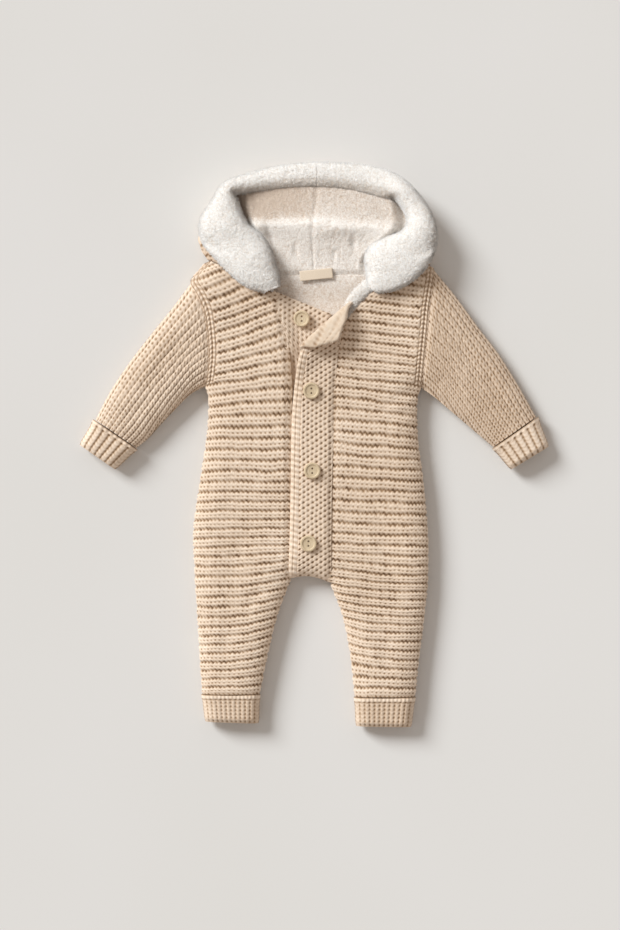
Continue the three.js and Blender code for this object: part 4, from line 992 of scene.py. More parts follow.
@dataclass
class BackPanel:
    """The back: one piece, flat underneath, parted into two legs."""

    leg_columns: int = 34
    crotch_columns: int = 14
    rows_per_ridge: int = 4

    @property
    def columns(self) -> int:
        """The columns of both legs and of the crotch between them."""
        return 2 * self.leg_columns + self.crotch_columns

    def points(self, along: np.ndarray, across: np.ndarray) -> np.ndarray:
        """Places of shape (n, 2): level at the waist, round at the neck, and forked below the crotch."""
        ridge = along * RIDGES
        steps = across * self.columns
        left_v = crowd(np.clip(steps / self.leg_columns, 0, 1))
        right_v = crowd(np.clip((self.columns - steps) / self.leg_columns, 0, 1))
        mid_v = np.clip((steps - self.leg_columns) / self.crotch_columns, 0, 1)
        on_left = steps <= self.leg_columns + 1e-3
        on_right = steps >= self.leg_columns + self.crotch_columns - 1e-3

        def forked(row: np.ndarray) -> np.ndarray:
            left, right = on_ridge(LEFT_FRONT, row, left_v), on_ridge(RIGHT_FRONT, row, right_v)
            low = np.where(on_left[:, None], left, crotch_point(mid_v))
            return np.where(on_right[:, None], right, low)

        low = forked(np.full_like(ridge, LAST_BODY_RIDGE))
        low_left, low_right = (t.point("side", LAST_BODY_RIDGE)[0] for t in (LEFT_FRONT, RIGHT_FRONT))
        share = (low[:, 0] - low_left[0]) / (low_right[0] - low_left[0])
        level = mix(LEFT_FRONT.point("side", ridge), RIGHT_FRONT.point("side", ridge), share)
        rise = (low[:, 1] - mix(low_left[1], low_right[1], share)) * smooth(ridge, 22, LAST_BODY_RIDGE)
        drop = NECK_DROP * np.sin(np.pi * np.clip(share, 0, 1)) ** 0.8 * (1 - smooth(ridge, 0, 5))
        body = level + np.column_stack([0 * rise, rise - drop])
        return np.where((ridge > LAST_BODY_RIDGE)[:, None], forked(ridge), body)

    def under(self, along: np.ndarray, across: np.ndarray) -> Sampled:
        """The face that lies on the floor, with its ridges pressed flat there."""
        points = self.points(along, across)
        distance, out = OUTLINE.nearest(points)
        arch, level = arch_at(distance), 1 - np.clip(distance / EDGE_ROLL, 0, 1)
        ridge, b = along * RIDGES, stitch_x(points)
        relief, depth = knit_relief(Stitch.GARTER, ridge, b)
        seam = BACK_TOP - EDGE_LIP
        moved = points + out * (relief * level)[:, None]
        z = np.maximum(seam * (1 - arch) - relief * level * 0.4, 0)
        return Sampled(np.column_stack([moved, z]), depth * 0.85, np.column_stack([b, ridge]))

    def upper(self, along: np.ndarray, across: np.ndarray) -> Sampled:
        """The face inside the garment."""
        points = self.points(along, across)
        return plain(points, BACK_TOP - HALF_HOLLOW * edge_arch(points))

    def build(self, yarn: bpy.types.Material) -> None:
        patch = Patch("back_panel_knit")
        rows, columns = RIDGES * self.rows_per_ridge, self.columns
        crotch_start, crotch_end = self.leg_columns / columns, 1 - self.leg_columns / columns

        def between_legs(along: float, across: float) -> bool:
            return along * RIDGES > LAST_BODY_RIDGE and crotch_start < across < crotch_end

        patch.add(self.under, rows, columns, open_at=between_legs)
        patch.add(self.upper, rows, columns, open_at=between_legs)
        patch.wall_all_round()
        declare(patch.finish(yarn), "knit", "back_panel", flat=(0.27, 0.47), rests_on=["floor"])


@dataclass
class Sleeve:
    """A sleeve of half-fisherman rib that runs from the armhole to the cuff, flat underneath."""

    name: str
    table: Table
    front: Table
    first_ridge: float
    # painted shade over the whole sleeve, which the right sleeve takes
    shade: float = 0.0
    flat: tuple[float, float] = (0.16, 0.17)
    length: float = 150.0

    def plan(self, u: np.ndarray, v: np.ndarray) -> np.ndarray:
        """Places of shape (n, 2), blended between the sleeve's edges, its armhole and its end."""
        upper, lower = self.table.point("up", u), self.table.point("low", u)
        armhole = self.front.point("side", mix(self.first_ridge, FIRST_SIDE_RIDGE, v))
        armhole = armhole - np.sign(armhole[:, :1]) * np.array([[1.6, 0.0]])
        ends = {k: (self.table.point("up", k)[0], self.table.point("low", k)[0]) for k in (0.0, 1.0)}
        end = ends[1.0][0] + (ends[1.0][1] - ends[1.0][0]) * v[:, None]
        start = ends[0.0][0] + (ends[0.0][1] - ends[0.0][0]) * v[:, None]
        return mix(upper, lower, v) + mix(armhole, end, u) - mix(start, end, u)

    def length_at(self, u: np.ndarray) -> np.ndarray:
        """How far down the sleeve a place is, in stitches."""
        return u * self.length / STITCH

    def outer(self, along: np.ndarray, around: np.ndarray) -> Sampled:
        """The skin: the top from the upper to the lower edge, then the underside back."""
        top = around <= 0.5
        v = crowd(there_and_back(around), 0.5)
        points = self.plan(along, v)
        seam = mix(SEAM_HEIGHT, SLEEVE_SEAM, along)
        ridges = mix(SLEEVE_RIDGES_TOP, SLEEVE_RIDGES_END, smooth(along, 0, 1))
        b = self.length_at(along)
        flat = np.column_stack([points, 0 * v])
        wander = 0.07 * value_noise(flat, 22, 13)
        relief, depth = knit_relief(Stitch.FISHERMAN, v * ridges + 0.5 + wander, b, 0.4)
        scale = mix(0.95, 0.8, along)
        pulled = 1 - smooth(along, 0, 0.07)
        edge = np.sin(np.pi * np.clip(v, 0, 1)) ** 0.3
        height = mix(BODY_TOP, SLEEVE_TOP, smooth(along, 0, 1)) - SEAM_DIP * pulled
        height = height - 1.2 * (1 - smooth(along, 0, 0.02))
        upper = upper_face(points, seam, height, relief * scale * edge * (1 - 0.6 * pulled))
        arch = edge_arch(points)
        under = np.column_stack([points, seam * (1 - arch)])
        places = np.where(top[:, None], upper, under)
        return Sampled(places, depth * (1 - 0.3 * pulled) + self.shade, np.column_stack([b, v * ridges]))

    def inner(self, along: np.ndarray, around: np.ndarray) -> Sampled:
        """The flat hollow inside."""
        v = mix(0.1, 0.9, there_and_back(around))
        side = HALF_HOLLOW * np.sin(2 * np.pi * around)
        return plain(self.plan(along, v), mix(SEAM_HEIGHT, SLEEVE_SEAM, along) + side, 0.5)

    def build(self, yarn: bpy.types.Material) -> None:
        faces = (self.outer, 180, 150), (self.inner, 6, 150)
        piece = wall_of(f"{self.name}_knit", faces, yarn, tube=True)
        declare(piece, "knit", self.name, flat=self.flat, rests_on=["floor"])


@dataclass
class Cuff:
    """A cuff of turned-back rib: a lip at its border, ribs along the limb, and a rounded end."""

    name: str
    border: tuple[tuple[float, float], tuple[float, float]]
    end: tuple[tuple[float, float], tuple[float, float]]
    top: float
    rise: float
    side: float
    flat: tuple[float, float]
    ribs: int = CUFF_RIBS
    bead: float = 0.12
    shade: float = 0.06
    # how strongly the ribs' grooves are darkened with painted shade
    groove: float = 1.0
    lip: float = 0.1
    roll: float = 15.0
    length: float = 30.0
    stitch: float = 0.8 * STITCH  # width of one stitch of the rib

    def corner(self, u: np.ndarray, which: int) -> np.ndarray:
        """A long edge of the cuff, standing out at the lip and drawn in at the end."""
        starts, stops = np.array(self.border), np.array(self.end)
        here, other = (mix(starts[[edge]], stops[[edge]], u) for edge in (which, 1 - which))
        away = here - other
        out = self.side * (1 - smooth(u, 0.1, 0.3)) - self.side * smooth(u, 0.85, 1)
        return here + away / np.linalg.norm(away, axis=1)[:, None] * out[:, None]

    def plan(self, u: np.ndarray, v: np.ndarray) -> tuple[np.ndarray, np.ndarray]:
        """Places of shape (n, 2), and how far up its arch each is."""
        a, b = self.corner(u, 0), self.corner(u, 1)
        distance = np.minimum(v, 1 - v) * np.linalg.norm(a - b, axis=1)
        return mix(a, b, v), arch_at(distance, self.roll)

    def outer(self, along: np.ndarray, around: np.ndarray) -> Sampled:
        """The skin: ribs on top, flat underneath."""
        top = around <= 0.5
        v = crowd(there_and_back(around), 0.5)
        u = crowd(along, 0.35)
        points, arch = self.plan(u, v)
        b = u * self.length / self.stitch
        relief, depth = knit_relief(Stitch.RIB, v * self.ribs, b, self.bead)
        rounded = 3 * smooth(u, 0.84, 1)
        raised = self.rise * (1 - smooth(u, self.lip - 0.04, self.lip + 0.04))
        lip = raised * smooth(u, -0.05, 0.06) - rounded
        edge = np.sin(np.pi * np.clip(v, 0, 1)) ** 0.4
        on_lip = 1 - smooth(u, self.lip - 0.03, self.lip + 0.03)
        dimples = 0.45 * np.cos(2 * np.pi * v * self.ribs * 1.3)
        relief = relief * edge * (1 - on_lip) * (1 - 0.6 * smooth(u, 0.9, 1)) + dimples * on_lip
        crest = SLEEVE_SEAM + (self.top + lip - SLEEVE_SEAM + relief) * arch
        under = SLEEVE_SEAM * (1 - arch) + 0.6 * rounded * arch
        # Painted shade in the crease under the lip and at the border with the limb.
        painted_crease_shade = bell(u - self.lip - 0.02, 0.025) * 0.2 + (1 - smooth(u, 0, 0.05)) * 0.5
        shade = np.clip((depth * self.groove + self.shade) * (1 - on_lip) + 0.1 * on_lip + painted_crease_shade, 0, 1)
        places = np.column_stack([points, np.where(top, crest, under)])
        return Sampled(places, shade, np.column_stack([b, v * CUFF_RIBS]))

    def inner(self, along: np.ndarray, around: np.ndarray) -> Sampled:
        """The flat hollow inside, a little more open at the end."""
        v = mix(0.12, 0.88, there_and_back(around))
        points, _ = self.plan(along, v)
        half = (HALF_HOLLOW + 0.9 * smooth(along, 0.84, 1)) * np.sin(2 * np.pi * around)
        return plain(points, SLEEVE_SEAM + half, 0.6)

    def build(self, yarn: bpy.types.Material) -> None:
        faces = (self.outer, 44, 150), (self.inner, 3, 150)
        piece = wall_of(f"{self.name}_rib", faces, yarn, tube=True)
        declare(piece, "knit", self.name, flat=self.flat, rests_on=["floor"])


def seed_places(points: np.ndarray, start: float) -> tuple[np.ndarray, np.ndarray]:
    """Rows and columns of the bands' seed stitch: dots 4.7 mm apart across and 5.9 mm apart down."""
    flat = np.column_stack([points, 0 * points[:, 0]])
    row = points[:, 1] / SEED_ROW + 0.1 * value_noise(flat, 15, 17)
    column = (points[:, 0] - start) / SEED_COLUMN + 0.06 * value_noise(flat, 13, 18)
    return row, column


def band_faces(points: np.ndarray) -> tuple[np.ndarray, np.ndarray]:
    """The heights of the buttonhole band's top and underside, which round down to the crotch."""
    arch = edge_arch(points)
    top = mix(FRONT_FLOOR + EDGE_LIP, BAND_TOP, arch)
    return top, np.maximum(top - BAND_WALL, FRONT_FLOOR + HALF_HOLLOW * arch)


@dataclass
class ButtonStand:
    """The band with the buttons, sewn to the left front, under the other band."""

    def ridge(self, along: np.ndarray) -> np.ndarray:
        """The ridge of the front at each place, with most of the rows at the neck, where the stand shows."""
        return BUTTON_STAND.place_at(along**2.2)

    def points(self, along: np.ndarray, across: np.ndarray) -> np.ndarray:
        """Places of shape (n, 2), from under the left front's edge to the free edge."""
        ridge = self.ridge(along)
        seam = LEFT_FRONT.point("inner", ridge) - np.array([[2.5, 0.0]])
        return mix(seam, BUTTON_STAND.point("free", ridge), across)

    def top(self, along: np.ndarray, across: np.ndarray) -> Sampled:
        """The face that shows at the neck."""
        points = self.points(along, across)
        edge = np.minimum(smooth(along, 0, 0.05), smooth(1 - across, 0, 0.06))
        height = np.minimum(STAND_TOP, band_faces(points)[1] - BAND_GAP)
        a, b = seed_places(points, -8.0)
        relief, depth = knit_relief(Stitch.SEED, a, b)
        free = smooth(points[:, 1], 104, 112)
        from_seam = points[:, 0] - LEFT_FRONT.read("inner_x", self.ridge(along))
        by_seam = 1 - smooth(from_seam, 1, 17)
        level = (BODY_TOP - 1.6 - STAND_TOP) * by_seam * smooth(points[:, 1], 92, 104)
        z = height + level - 2.6 * (1 - edge) ** 2 + relief * edge * free * 0.75
        return Sampled(np.column_stack([points, z]), depth, np.column_stack([b, a]))

    def under(self, along: np.ndarray, across: np.ndarray) -> Sampled:
        """The face that lies on the back."""
        points = self.points(along, across)
        return plain(points, FRONT_FLOOR + HALF_HOLLOW * edge_arch(points))

    def build(self, yarn: bpy.types.Material) -> None:
        piece = wall_of("button_stand_knit", ((self.top, 130, 60), (self.under, 26, 12)), yarn)
        declare(piece, "knit", "button_stand", flat=(0.046, 0.3), rests_on=["back_panel_knit"])


@dataclass
class ButtonholeBand:
    """The band with the buttonholes, sewn to the right front, its top corner turned back as a lapel."""

    fold_x: float = -15.0
    fold_y: float = 102.0
    fold_angle: float = math.radians(41.5)
    fold_radius: float = 3.4
    fold_width: float = 7.0
    fold_lift: float = 0.34
    fold_rise: float = 6.5  # how far the band rises towards the fold
    edge_bump: float = 11.0  # from one bump of the free edge to the next

    @property
    def out(self) -> np.ndarray:
        """The direction over the fold line."""
        return np.array([-math.sin(self.fold_angle), math.cos(self.fold_angle)])

    def beyond(self, points: np.ndarray) -> np.ndarray:
        """How far places lie beyond the fold line."""
        return (points - [self.fold_x, self.fold_y]) @ self.out

    def flat_points(self, along: np.ndarray, across: np.ndarray) -> tuple[np.ndarray, np.ndarray]:
        """Places on the band before it is folded, and how far across it each is."""
        ridge = BUTTONHOLE_BAND.place_at(along)
        free = BUTTONHOLE_BAND.point("free", ridge)
        seam = RIGHT_FRONT.point("inner", ridge)
        past_free, past_seam = self.beyond(free), self.beyond(seam)
        share = np.clip(past_free / (past_free - past_seam), 0.3, 0.9)
        t = np.where(across < 0.5, share * across * 2, mix(share, 1, across * 2 - 1))
        points = mix(free, seam, t)
        bow = FLAP_HOLLOW * (1 - smooth(along, 0, 0.15)) - 5 * smooth(along, 0.86, 1)
        points[:, 1] -= bow * np.sin(np.pi * t)
        return points, t

    def folded(self, points: np.ndarray, middle: np.ndarray, h: np.ndarray) -> np.ndarray:
        """Rolls places over the fold line; h is the height above the band's middle layer."""
        past_fold = self.beyond(points)
        beyond = np.maximum(past_fold, 0)
        foot = points - self.out * beyond[:, None]
        half_turn = math.pi * self.fold_radius
        sheet = beyond + half_turn * np.minimum(beyond / self.fold_width, 1)
        turn = np.minimum(sheet / self.fold_radius, math.pi)
        past = np.maximum(sheet - half_turn, 0)
        reach = (self.fold_radius - h) * np.sin(turn) - past
        z = middle + self.fold_radius - (self.fold_radius - h) * np.cos(turn) + self.fold_lift * past
        return np.column_stack([foot + self.out * reach[:, None], z])

    def face(self, along: np.ndarray, across: np.ndarray, side: int) -> Sampled:
        """One face of the band: side 1 shows when it is buttoned, and side -1 on the lapel."""
        points, t = self.flat_points(along, across)
        top, under = band_faces(points)
        lapel = 1 - smooth(along, 0.16, 0.3)
        rounded = 1 - np.minimum(arch_at(t, 0.15), arch_at(along, 0.014))
        thick = mix(top - under, LAPEL_WALL, lapel)
        rise = self.fold_rise * smooth(self.beyond(points), -27, 0) * (1 - smooth(t, 0.55, 0.95))
        middle = (top + under) / 2 - 0.4 * lapel + rise
        a, b = seed_places(points, -25.0)
        crotch = smooth(OUTLINE.nearest(points)[0], 0, 10)
        relief, depth = knit_relief(Stitch.SEED, a, b)
        dip = 0.0
        if side > 0:
            dip = 2.2 * smooth(t, 0.84, 1) * (1 - lapel)
            edge_column = 1 - smooth(t, 0.085, 0.11)
            second = smooth(t, 0.085, 0.11) * (1 - smooth(t, 0.2, 0.22))
            hump = np.sin(np.pi * np.clip(t / 0.1, 0, 1))
            bumps = 0.5 * np.cos(2 * np.pi * points[:, 1] / self.edge_bump) * hump
            loops = ripple(points[:, 1] / SEED_ROW + 2.4 * t)
            groove = bell(t - 0.1, 0.016) + 0.7 * bell(t - 0.21, 0.014)
            seeds = 1 - edge_column - second
            edging = (0.1 + bumps + 0.3 * loops) * edge_column
            relief = relief * seeds + edging + 0.45 * loops * second - 0.55 * groove
            # Painted shade between the edging's loops and in its grooves, and extra painted shade on the
            # edge column, which faces the light.
            depth = depth * seeds + (0.34 * second + 0.26 * edge_column) * (1 - loops) / 2
            depth = np.clip(depth + 0.16 * groove + 0.08 * edge_column, 0, 1)
        else:
            relief, depth = relief * 0.5, depth * mix(0.3, 0.7, smooth(along, 0.02, 0.14))
        h = side * (thick / 2 * (1 - rounded) + relief * crotch * (1 - rounded)) - dip
        return Sampled(self.folded(points, middle, h), depth, np.column_stack([b, a]))

    def build(self, yarn: bpy.types.Material, facing: bpy.types.Material) -> None:
        patch = Patch("buttonhole_band_knit")
        patch.add(partial(self.face, side=1), 330, 64)
        patch.add(partial(self.face, side=-1), 220, 44, finish=1)
        patch.wall_sides()
        bmesh.ops.remove_doubles(patch.bm, verts=patch.bm.verts, dist=1e-6)
        declare(patch.finish(yarn, facing), "knit", "buttonhole_band", flat=(0.048, 0.31),
                rests_on=["button_stand_knit"])


@dataclass
class HoodOutside:
    """The outside of the hood: a knit wall on the floor, rounded at its rim."""

    def points(self, along: np.ndarray, across: np.ndarray) -> np.ndarray:
        """Places of shape (n, 2), from the neck seam to the rim."""
        return mix(HOOD_OUTSIDE.point("neck", across), HOOD_OUTSIDE.point("rim", across), along)

    def face(self, along: np.ndarray, across: np.ndarray, upper: bool) -> Sampled:
        """The upper face, or the face on the floor."""
        u = 1 - (1 - along) ** 1.5
        points = self.points(u, across)
        rim = smooth(u, 0.9, 1)
        a, b = points[:, 1] / HOOD_RIDGE_HEIGHT, points[:, 0] / STITCH
        relief, depth = knit_relief(Stitch.GARTER, a, b)
        out = HOOD_OUTSIDE.point("rim", across) - HOOD_OUTSIDE.point("neck", across)
        out = out / np.linalg.norm(out, axis=1)[:, None]
        swell = (0.8 + 0.6 * relief) * rim
        z = HOOD_WALL - 1.8 * rim + 0.2 * relief * rim if upper else 2.6 * rim
        places = np.column_stack([points + out * swell[:, None], z])
        return Sampled(places, depth, np.column_stack([b, a]))

    def build(self, yarn: bpy.types.Material) -> None:
        faces = [(partial(self.face, upper=upper), 34, 130) for upper in (True, False)]
        piece = wall_of("hood_outer_knit", faces, yarn)
        declare(piece, "knit", "hood_outer", flat=(0.25, 0.12), rests_on=["floor"])


def fleece_lift(places: np.ndarray, height: float, seed: int) -> tuple[np.ndarray, np.ndarray]:
    """The relief of curled pile at places of shape (n, 3).

    Args:
        places: where, in millimetres.
        height: how high the largest curls stand.
        seed: which curls.

    Returns:
        Height in millimetres, and how deep between the curls each place is, 0 to 1, which the material
        paints as shade.
    """
    large, small = clumps(places, 4.6, seed), clumps(places, 2.4, seed + 7)
    lift = 0.6 * large + 0.4 * small
    return (lift - 0.45) * height, 0.1 + np.clip(0.85 - lift, 0, 1) * 0.35


@dataclass
class Pile:
    """Short curled fibres that stand on the fleece, joined to one mesh."""

    name: str
    count: int
    seed: int
    length: float = 2.7
    radius: float = 0.55
    stray: float = 0.45  # how far its foot is off its face's middle
    swirl: float = 0.7
    scatter: float = 0.5
    lowest: float = 9.0  # no tufts stand below this height

    def tuft(self) -> tuple[np.ndarray, np.ndarray]:
        """One tapered tuft along Z: its points of shape (n, 3), and its triangles."""
        bm = bmesh.new()
        bmesh.ops.create_cone(
            bm, cap_ends=True, segments=3, radius1=self.radius, radius2=0.0, depth=self.length,
        )
        bmesh.ops.remove_doubles(bm, verts=bm.verts, dist=1e-5)
        bmesh.ops.triangulate(bm, faces=bm.faces)
        bmesh.ops.translate(bm, verts=bm.verts, vec=(0, 0, self.length * 0.32))
        points = np.array([v.co[:] for v in bm.verts])
        bm.verts.index_update()
        triangles = np.array([[v.index for v in face.verts] for face in bm.faces])
        bm.free()
        return points, triangles

    def build(self, ground: bpy.types.Object, fleece: bpy.types.Material) -> None:
        mesh = ground.data
        total = len(mesh.polygons)
        middles, normals, areas = np.empty(total * 3), np.empty(total * 3), np.empty(total)
        mesh.polygons.foreach_get("center", middles)
        mesh.polygons.foreach_get("normal", normals)
        mesh.polygons.foreach_get("area", areas)
        middles, normals = middles.reshape(-1, 3), normals.reshape(-1, 3)
        weight = areas * (normals[:, 2] > -0.25) * (middles[:, 2] > self.lowest * MM)
        random = np.random.default_rng(self.seed)
        chosen = random.choice(total, self.count, p=weight / weight.sum())
        base = middles[chosen] + random.normal(size=(self.count, 3)) * self.stray * MM
        swirl = np.column_stack([value_noise(middles[chosen] / MM, 7, self.seed + k) for k in (1, 2, 3)])
        lean = normals[chosen] + swirl * self.swirl + random.normal(size=(self.count, 3)) * self.scatter
        up = lean / np.linalg.norm(lean, axis=1)[:, None]
        side = np.cross(up, random.normal(size=(self.count, 3)))
        side = side / np.linalg.norm(side, axis=1)[:, None]
        third = np.cross(up, side)
        points, triangles = self.tuft()
        size = (0.7 + 0.6 * random.random(self.count))[:, None, None] * MM
        across = points[None, :, :1] * side[:, None] + points[None, :, 1:2] * third[:, None]
        spots = base[:, None] + size * across + size * points[None, :, 2:] * up[:, None]
        faces = triangles[None] + (np.arange(self.count) * len(points))[:, None, None]
        made = bpy.data.meshes.new(self.name)
        made.from_pydata(spots.reshape(-1, 3).tolist(), [], faces.reshape(-1, 3).tolist())
        made.materials.append(fleece)
        made.shade_smooth()
        shade = np.empty(len(mesh.vertices), dtype=np.float32)
        mesh.attributes["depth"].data.foreach_get("value", shade)
        corner = np.array([mesh.polygons[number].vertices[0] for number in chosen.tolist()])
        layer = made.attributes.new("depth", "FLOAT", "POINT")
        # Each tuft takes its ground's painted shade, with some random unevenness.
        uneven = np.clip(shade[corner] + random.normal(size=self.count) * 0.1, 0, 1)
        layer.data.foreach_set("value", np.repeat(uneven, len(points)).astype(np.float32))
        outward = spots - base[:, None]
        outward = outward / np.maximum(np.linalg.norm(outward, axis=2), 1e-9)[..., None]
        shading = normals[chosen][:, None] + 0.8 * outward
        shading = shading / np.linalg.norm(shading, axis=2)[..., None]
        made.normals_split_custom_set_from_vertices(shading.reshape(-1, 3).tolist())
        piece = bpy.data.objects.new(self.name, made)
        piece.visible_shadow = False  # light passes through thin fibres
        bpy.context.scene.collection.objects.link(piece)
        declare(piece, "fleece")


@dataclass
class HoodLining:
    """Half of the hood's fleece lining, from its edge under the brim to the centre seam."""

    side: str
    seed: int
    half_seam: float = 0.8  # from its edge to the middle of the centre seam

    def points(self, along: np.ndarray, across: np.ndarray) -> np.ndarray:
        """Places of shape (n, 2)."""
        row = HOOD_ROWS.place_at(along)
        edge = HOOD_ROWS.point(self.side, row)
        gap = self.half_seam if self.side == "left" else -self.half_seam
        mid = HOOD_ROWS.point("mid", row) + np.array([[gap, 0.0]])
        points = mix(edge, mid, across)
        points[:, 1] += HOOD_ROWS.read("bow", row) * np.sin(np.pi * across) - 2.5 * smooth(along, 0.97, 1)
        return points

    def top(self, along: np.ndarray, across: np.ndarray) -> Sampled:
        """The pile: a low pocket in the crown, a fold across the hood, and a slope to the neck."""
        points = self.points(along, across)
        tucked = smooth(across, 0.06, 0.2)
        straight = HOOD_ROWS.place_at(along)
        seam = 0.8 * smooth(across, 0.94, 1)
        crown = smooth(along, 0, 0.1)
        z = mix(LINING_EDGE, HOOD_ROWS.read("height", straight) - seam, tucked * crown)
        rising = smooth(along, 0.3, 0.5)
        wave = 1.1 * np.sin(points[:, 0] / 17 + 1.2) * rising * (1 - smooth(along, 0.6, 0.9))
        z = z + wave * tucked
        row = straight + 0.35 * np.sin(points[:, 0] / 19 + 0.8) + 0.2 * np.sin(points[:, 0] / 7.5)
        ridge = bell(row - 4.7, 0.9)
        z = z + (0.9 * ridge - fold_depth(points) - 3.2 * smooth(along, 0.965, 1)) * tucked
        places = np.column_stack([points, z])
        lift, depth = fleece_lift(places, 0.9, self.seed)
        # Painted shade in the crown's pocket, darkest at its left under the brim, and a painted highlight on
        # the fold's ridge.
        pocket = (1 - smooth(row, 1.6, 4.8)) * (0.66 - 0.42 * smooth(points[:, 0], -60, 50))
        depth = depth + pocket - 0.12 * ridge
        places[:, 2] += lift * tucked * (1 - 0.6 * smooth(across, 0.94, 1))
        return Sampled(places, np.clip(depth + 0.05 * smooth(across, 0.97, 1), 0, 1), points / STITCH)

    def under(self, along: np.ndarray, across: np.ndarray) -> Sampled:
        """The face that lies on the knit."""
        return plain(self.points(along, across), LINING_FLOOR)

    def build(self, fleece: bpy.types.Material) -> None:
        faces = (self.top, 110, 95), (self.under, 22, 19)
        piece = wall_of(f"hood_lining_{self.side}_pile", faces, fleece)
        declare(piece, "fleece", f"hood_lining_{self.side}", flat=(0.09, 0.11), held="folded",
                rests_on=["hood_outer_knit"])
        tufts = Pile(f"hood_lining_{self.side}_tufts", 9000, self.seed, length=1.8, radius=0.5)
        tufts.build(piece, fleece)


def hoodward_of_neck(points: np.ndarray) -> np.ndarray:
    """How far places lie on the hood's side of the neck seam of the fronts."""
    ridges = np.arange(0, 5.01, 0.25)
    result = np.zeros(len(points))
    for table, chosen in ((LEFT_FRONT, points[:, 0] < 0), (RIGHT_FRONT, points[:, 0] >= 0)):
        neck = table.point("inner", ridges)
        mine = points[chosen]
        if len(mine) == 0:
            continue
        gaps = np.linalg.norm(mine[:, None, :] - neck[None], axis=2)
        near = neck[gaps.argmin(axis=1)]
        result[chosen] = mine[:, 1] - near[:, 1] + 0.45 * (np.abs(near[:, 0]) - np.abs(mine[:, 0]))
    return result


@dataclass
class HoodBrim:
    """Half of the brim: fleece turned out to a thick roll, which laps over the front at the neck."""

    side: str
    table: Table
    seed: int

    def skin(self, along: np.ndarray, around: np.ndarray) -> Sampled:
        """The roll's skin, with its pile."""
        place = self.table.place_at(along)
        outer, inner = self.table.point("out", place), self.table.point("in", place)
        crest = self.table.read("crest", place)
        turn = 2 * np.pi * around
        across = (1 - np.cos(turn)) / 2
        points = mix(outer, inner, across)
        over_front = 1 - smooth(hoodward_of_neck(points), 7, 22)
        over_lining = smooth(across, 0.4, 0.64)
        crown = 1 - smooth(place, 3, 5)
        on_lining = (BRIM_UNDER_LINING + 4 * crown * smooth(across, 0.75, 1)) * over_lining
        floor = np.maximum(mix(HOOD_WALL + 0.4, BRIM_OVER_FRONT, over_front), on_lining)
        inside = crown * smooth(across, 0.5, 0.9)
        waist = np.maximum(floor + 3.5 - 2.3 * inside, 19)
        wave = 1 + 0.05 * np.sin(place * 2.1)
        sine = np.sin(turn)
        fullness = 0.52 + 0.5 * crown * smooth(across, 0.4, 0.6)
        upper = waist + (crest - waist) * wave * np.maximum(sine, 0) ** fullness
        lower = waist - (waist - floor) * np.maximum(-sine, 0) ** 0.5
        places = np.column_stack([points, np.where(sine >= 0, upper, lower)])
        lift, depth = fleece_lift(places, 1.0, self.seed)
        # Painted shade on the crown roll's inner side, running into the pocket's painted shade.
        depth = np.clip(depth + 0.3 * inside, 0, 1)
        top = np.clip(sine, 0, 1) ** 0.5
        sideways = (points - mix(outer, inner, 0.5)) / np.maximum(
            np.linalg.norm(outer - inner, axis=1), 1)[:, None] * 2
        places[:, 2] += lift * top
        places[:, :2] += sideways * (lift * (1 - 0.6 * top) * np.clip(sine + 0.35, 0, 1))[:, None]
        return Sampled(places, depth, np.column_stack([place, around * 8]))

    def build(self, fleece: bpy.types.Material) -> None:
        patch = Patch(f"hood_brim_{self.side}_pile")
        patch.add(self.skin, 220, 120, tube=True)
        patch.close_ends()
        piece = patch.finish(fleece)
        declare(piece, "fleece", f"hood_brim_{self.side}", flat=(0.054, 0.235), held="folded",
                rests_on=["hood_outer_knit"])
        Pile(f"hood_brim_{self.side}_tufts", count=17000, seed=self.seed).build(piece, fleece)


@dataclass
class NeckLining:
    """The fleece that shows in the neck opening, tucked under the fronts at its sides."""

    def points(self, along: np.ndarray, across: np.ndarray) -> np.ndarray:
        """Places of shape (n, 2)."""
        return mix(NECK_LINING.point("top", across), NECK_LINING.point("low", across), along)

    def top(self, along: np.ndarray, across: np.ndarray) -> Sampled:
        """The pile."""
        points = self.points(along, across)
        open_here = (1 - smooth(along, 0.1, 0.6)) * np.sin(np.pi * np.clip(across, 0, 1)) ** 0.6
        places = np.column_stack([points, 12.3 + 3 * open_here])
        lift, depth = fleece_lift(places, 1.1, 31)
        places[:, 2] += lift * open_here
        depth = depth + 0.1 + 0.15 * smooth(along, 0, 0.5)
        return Sampled(places, depth, points / STITCH)

    def under(self, along: np.ndarray, across: np.ndarray) -> Sampled:
        """The face that lies on the knit."""
        return plain(self.points(along, across), LINING_FLOOR)

    def build(self, fleece: bpy.types.Material) -> None:
        piece = wall_of("back_neck_lining_pile", ((self.top, 36, 90), (self.under, 6, 15)), fleece)
        declare(piece, "fleece", "back_neck_lining", flat=(0.11, 0.04), rests_on=["back_panel_knit"])
        Pile("back_neck_lining_tufts", count=4500, seed=33, length=1.2, radius=0.45).build(piece, fleece)


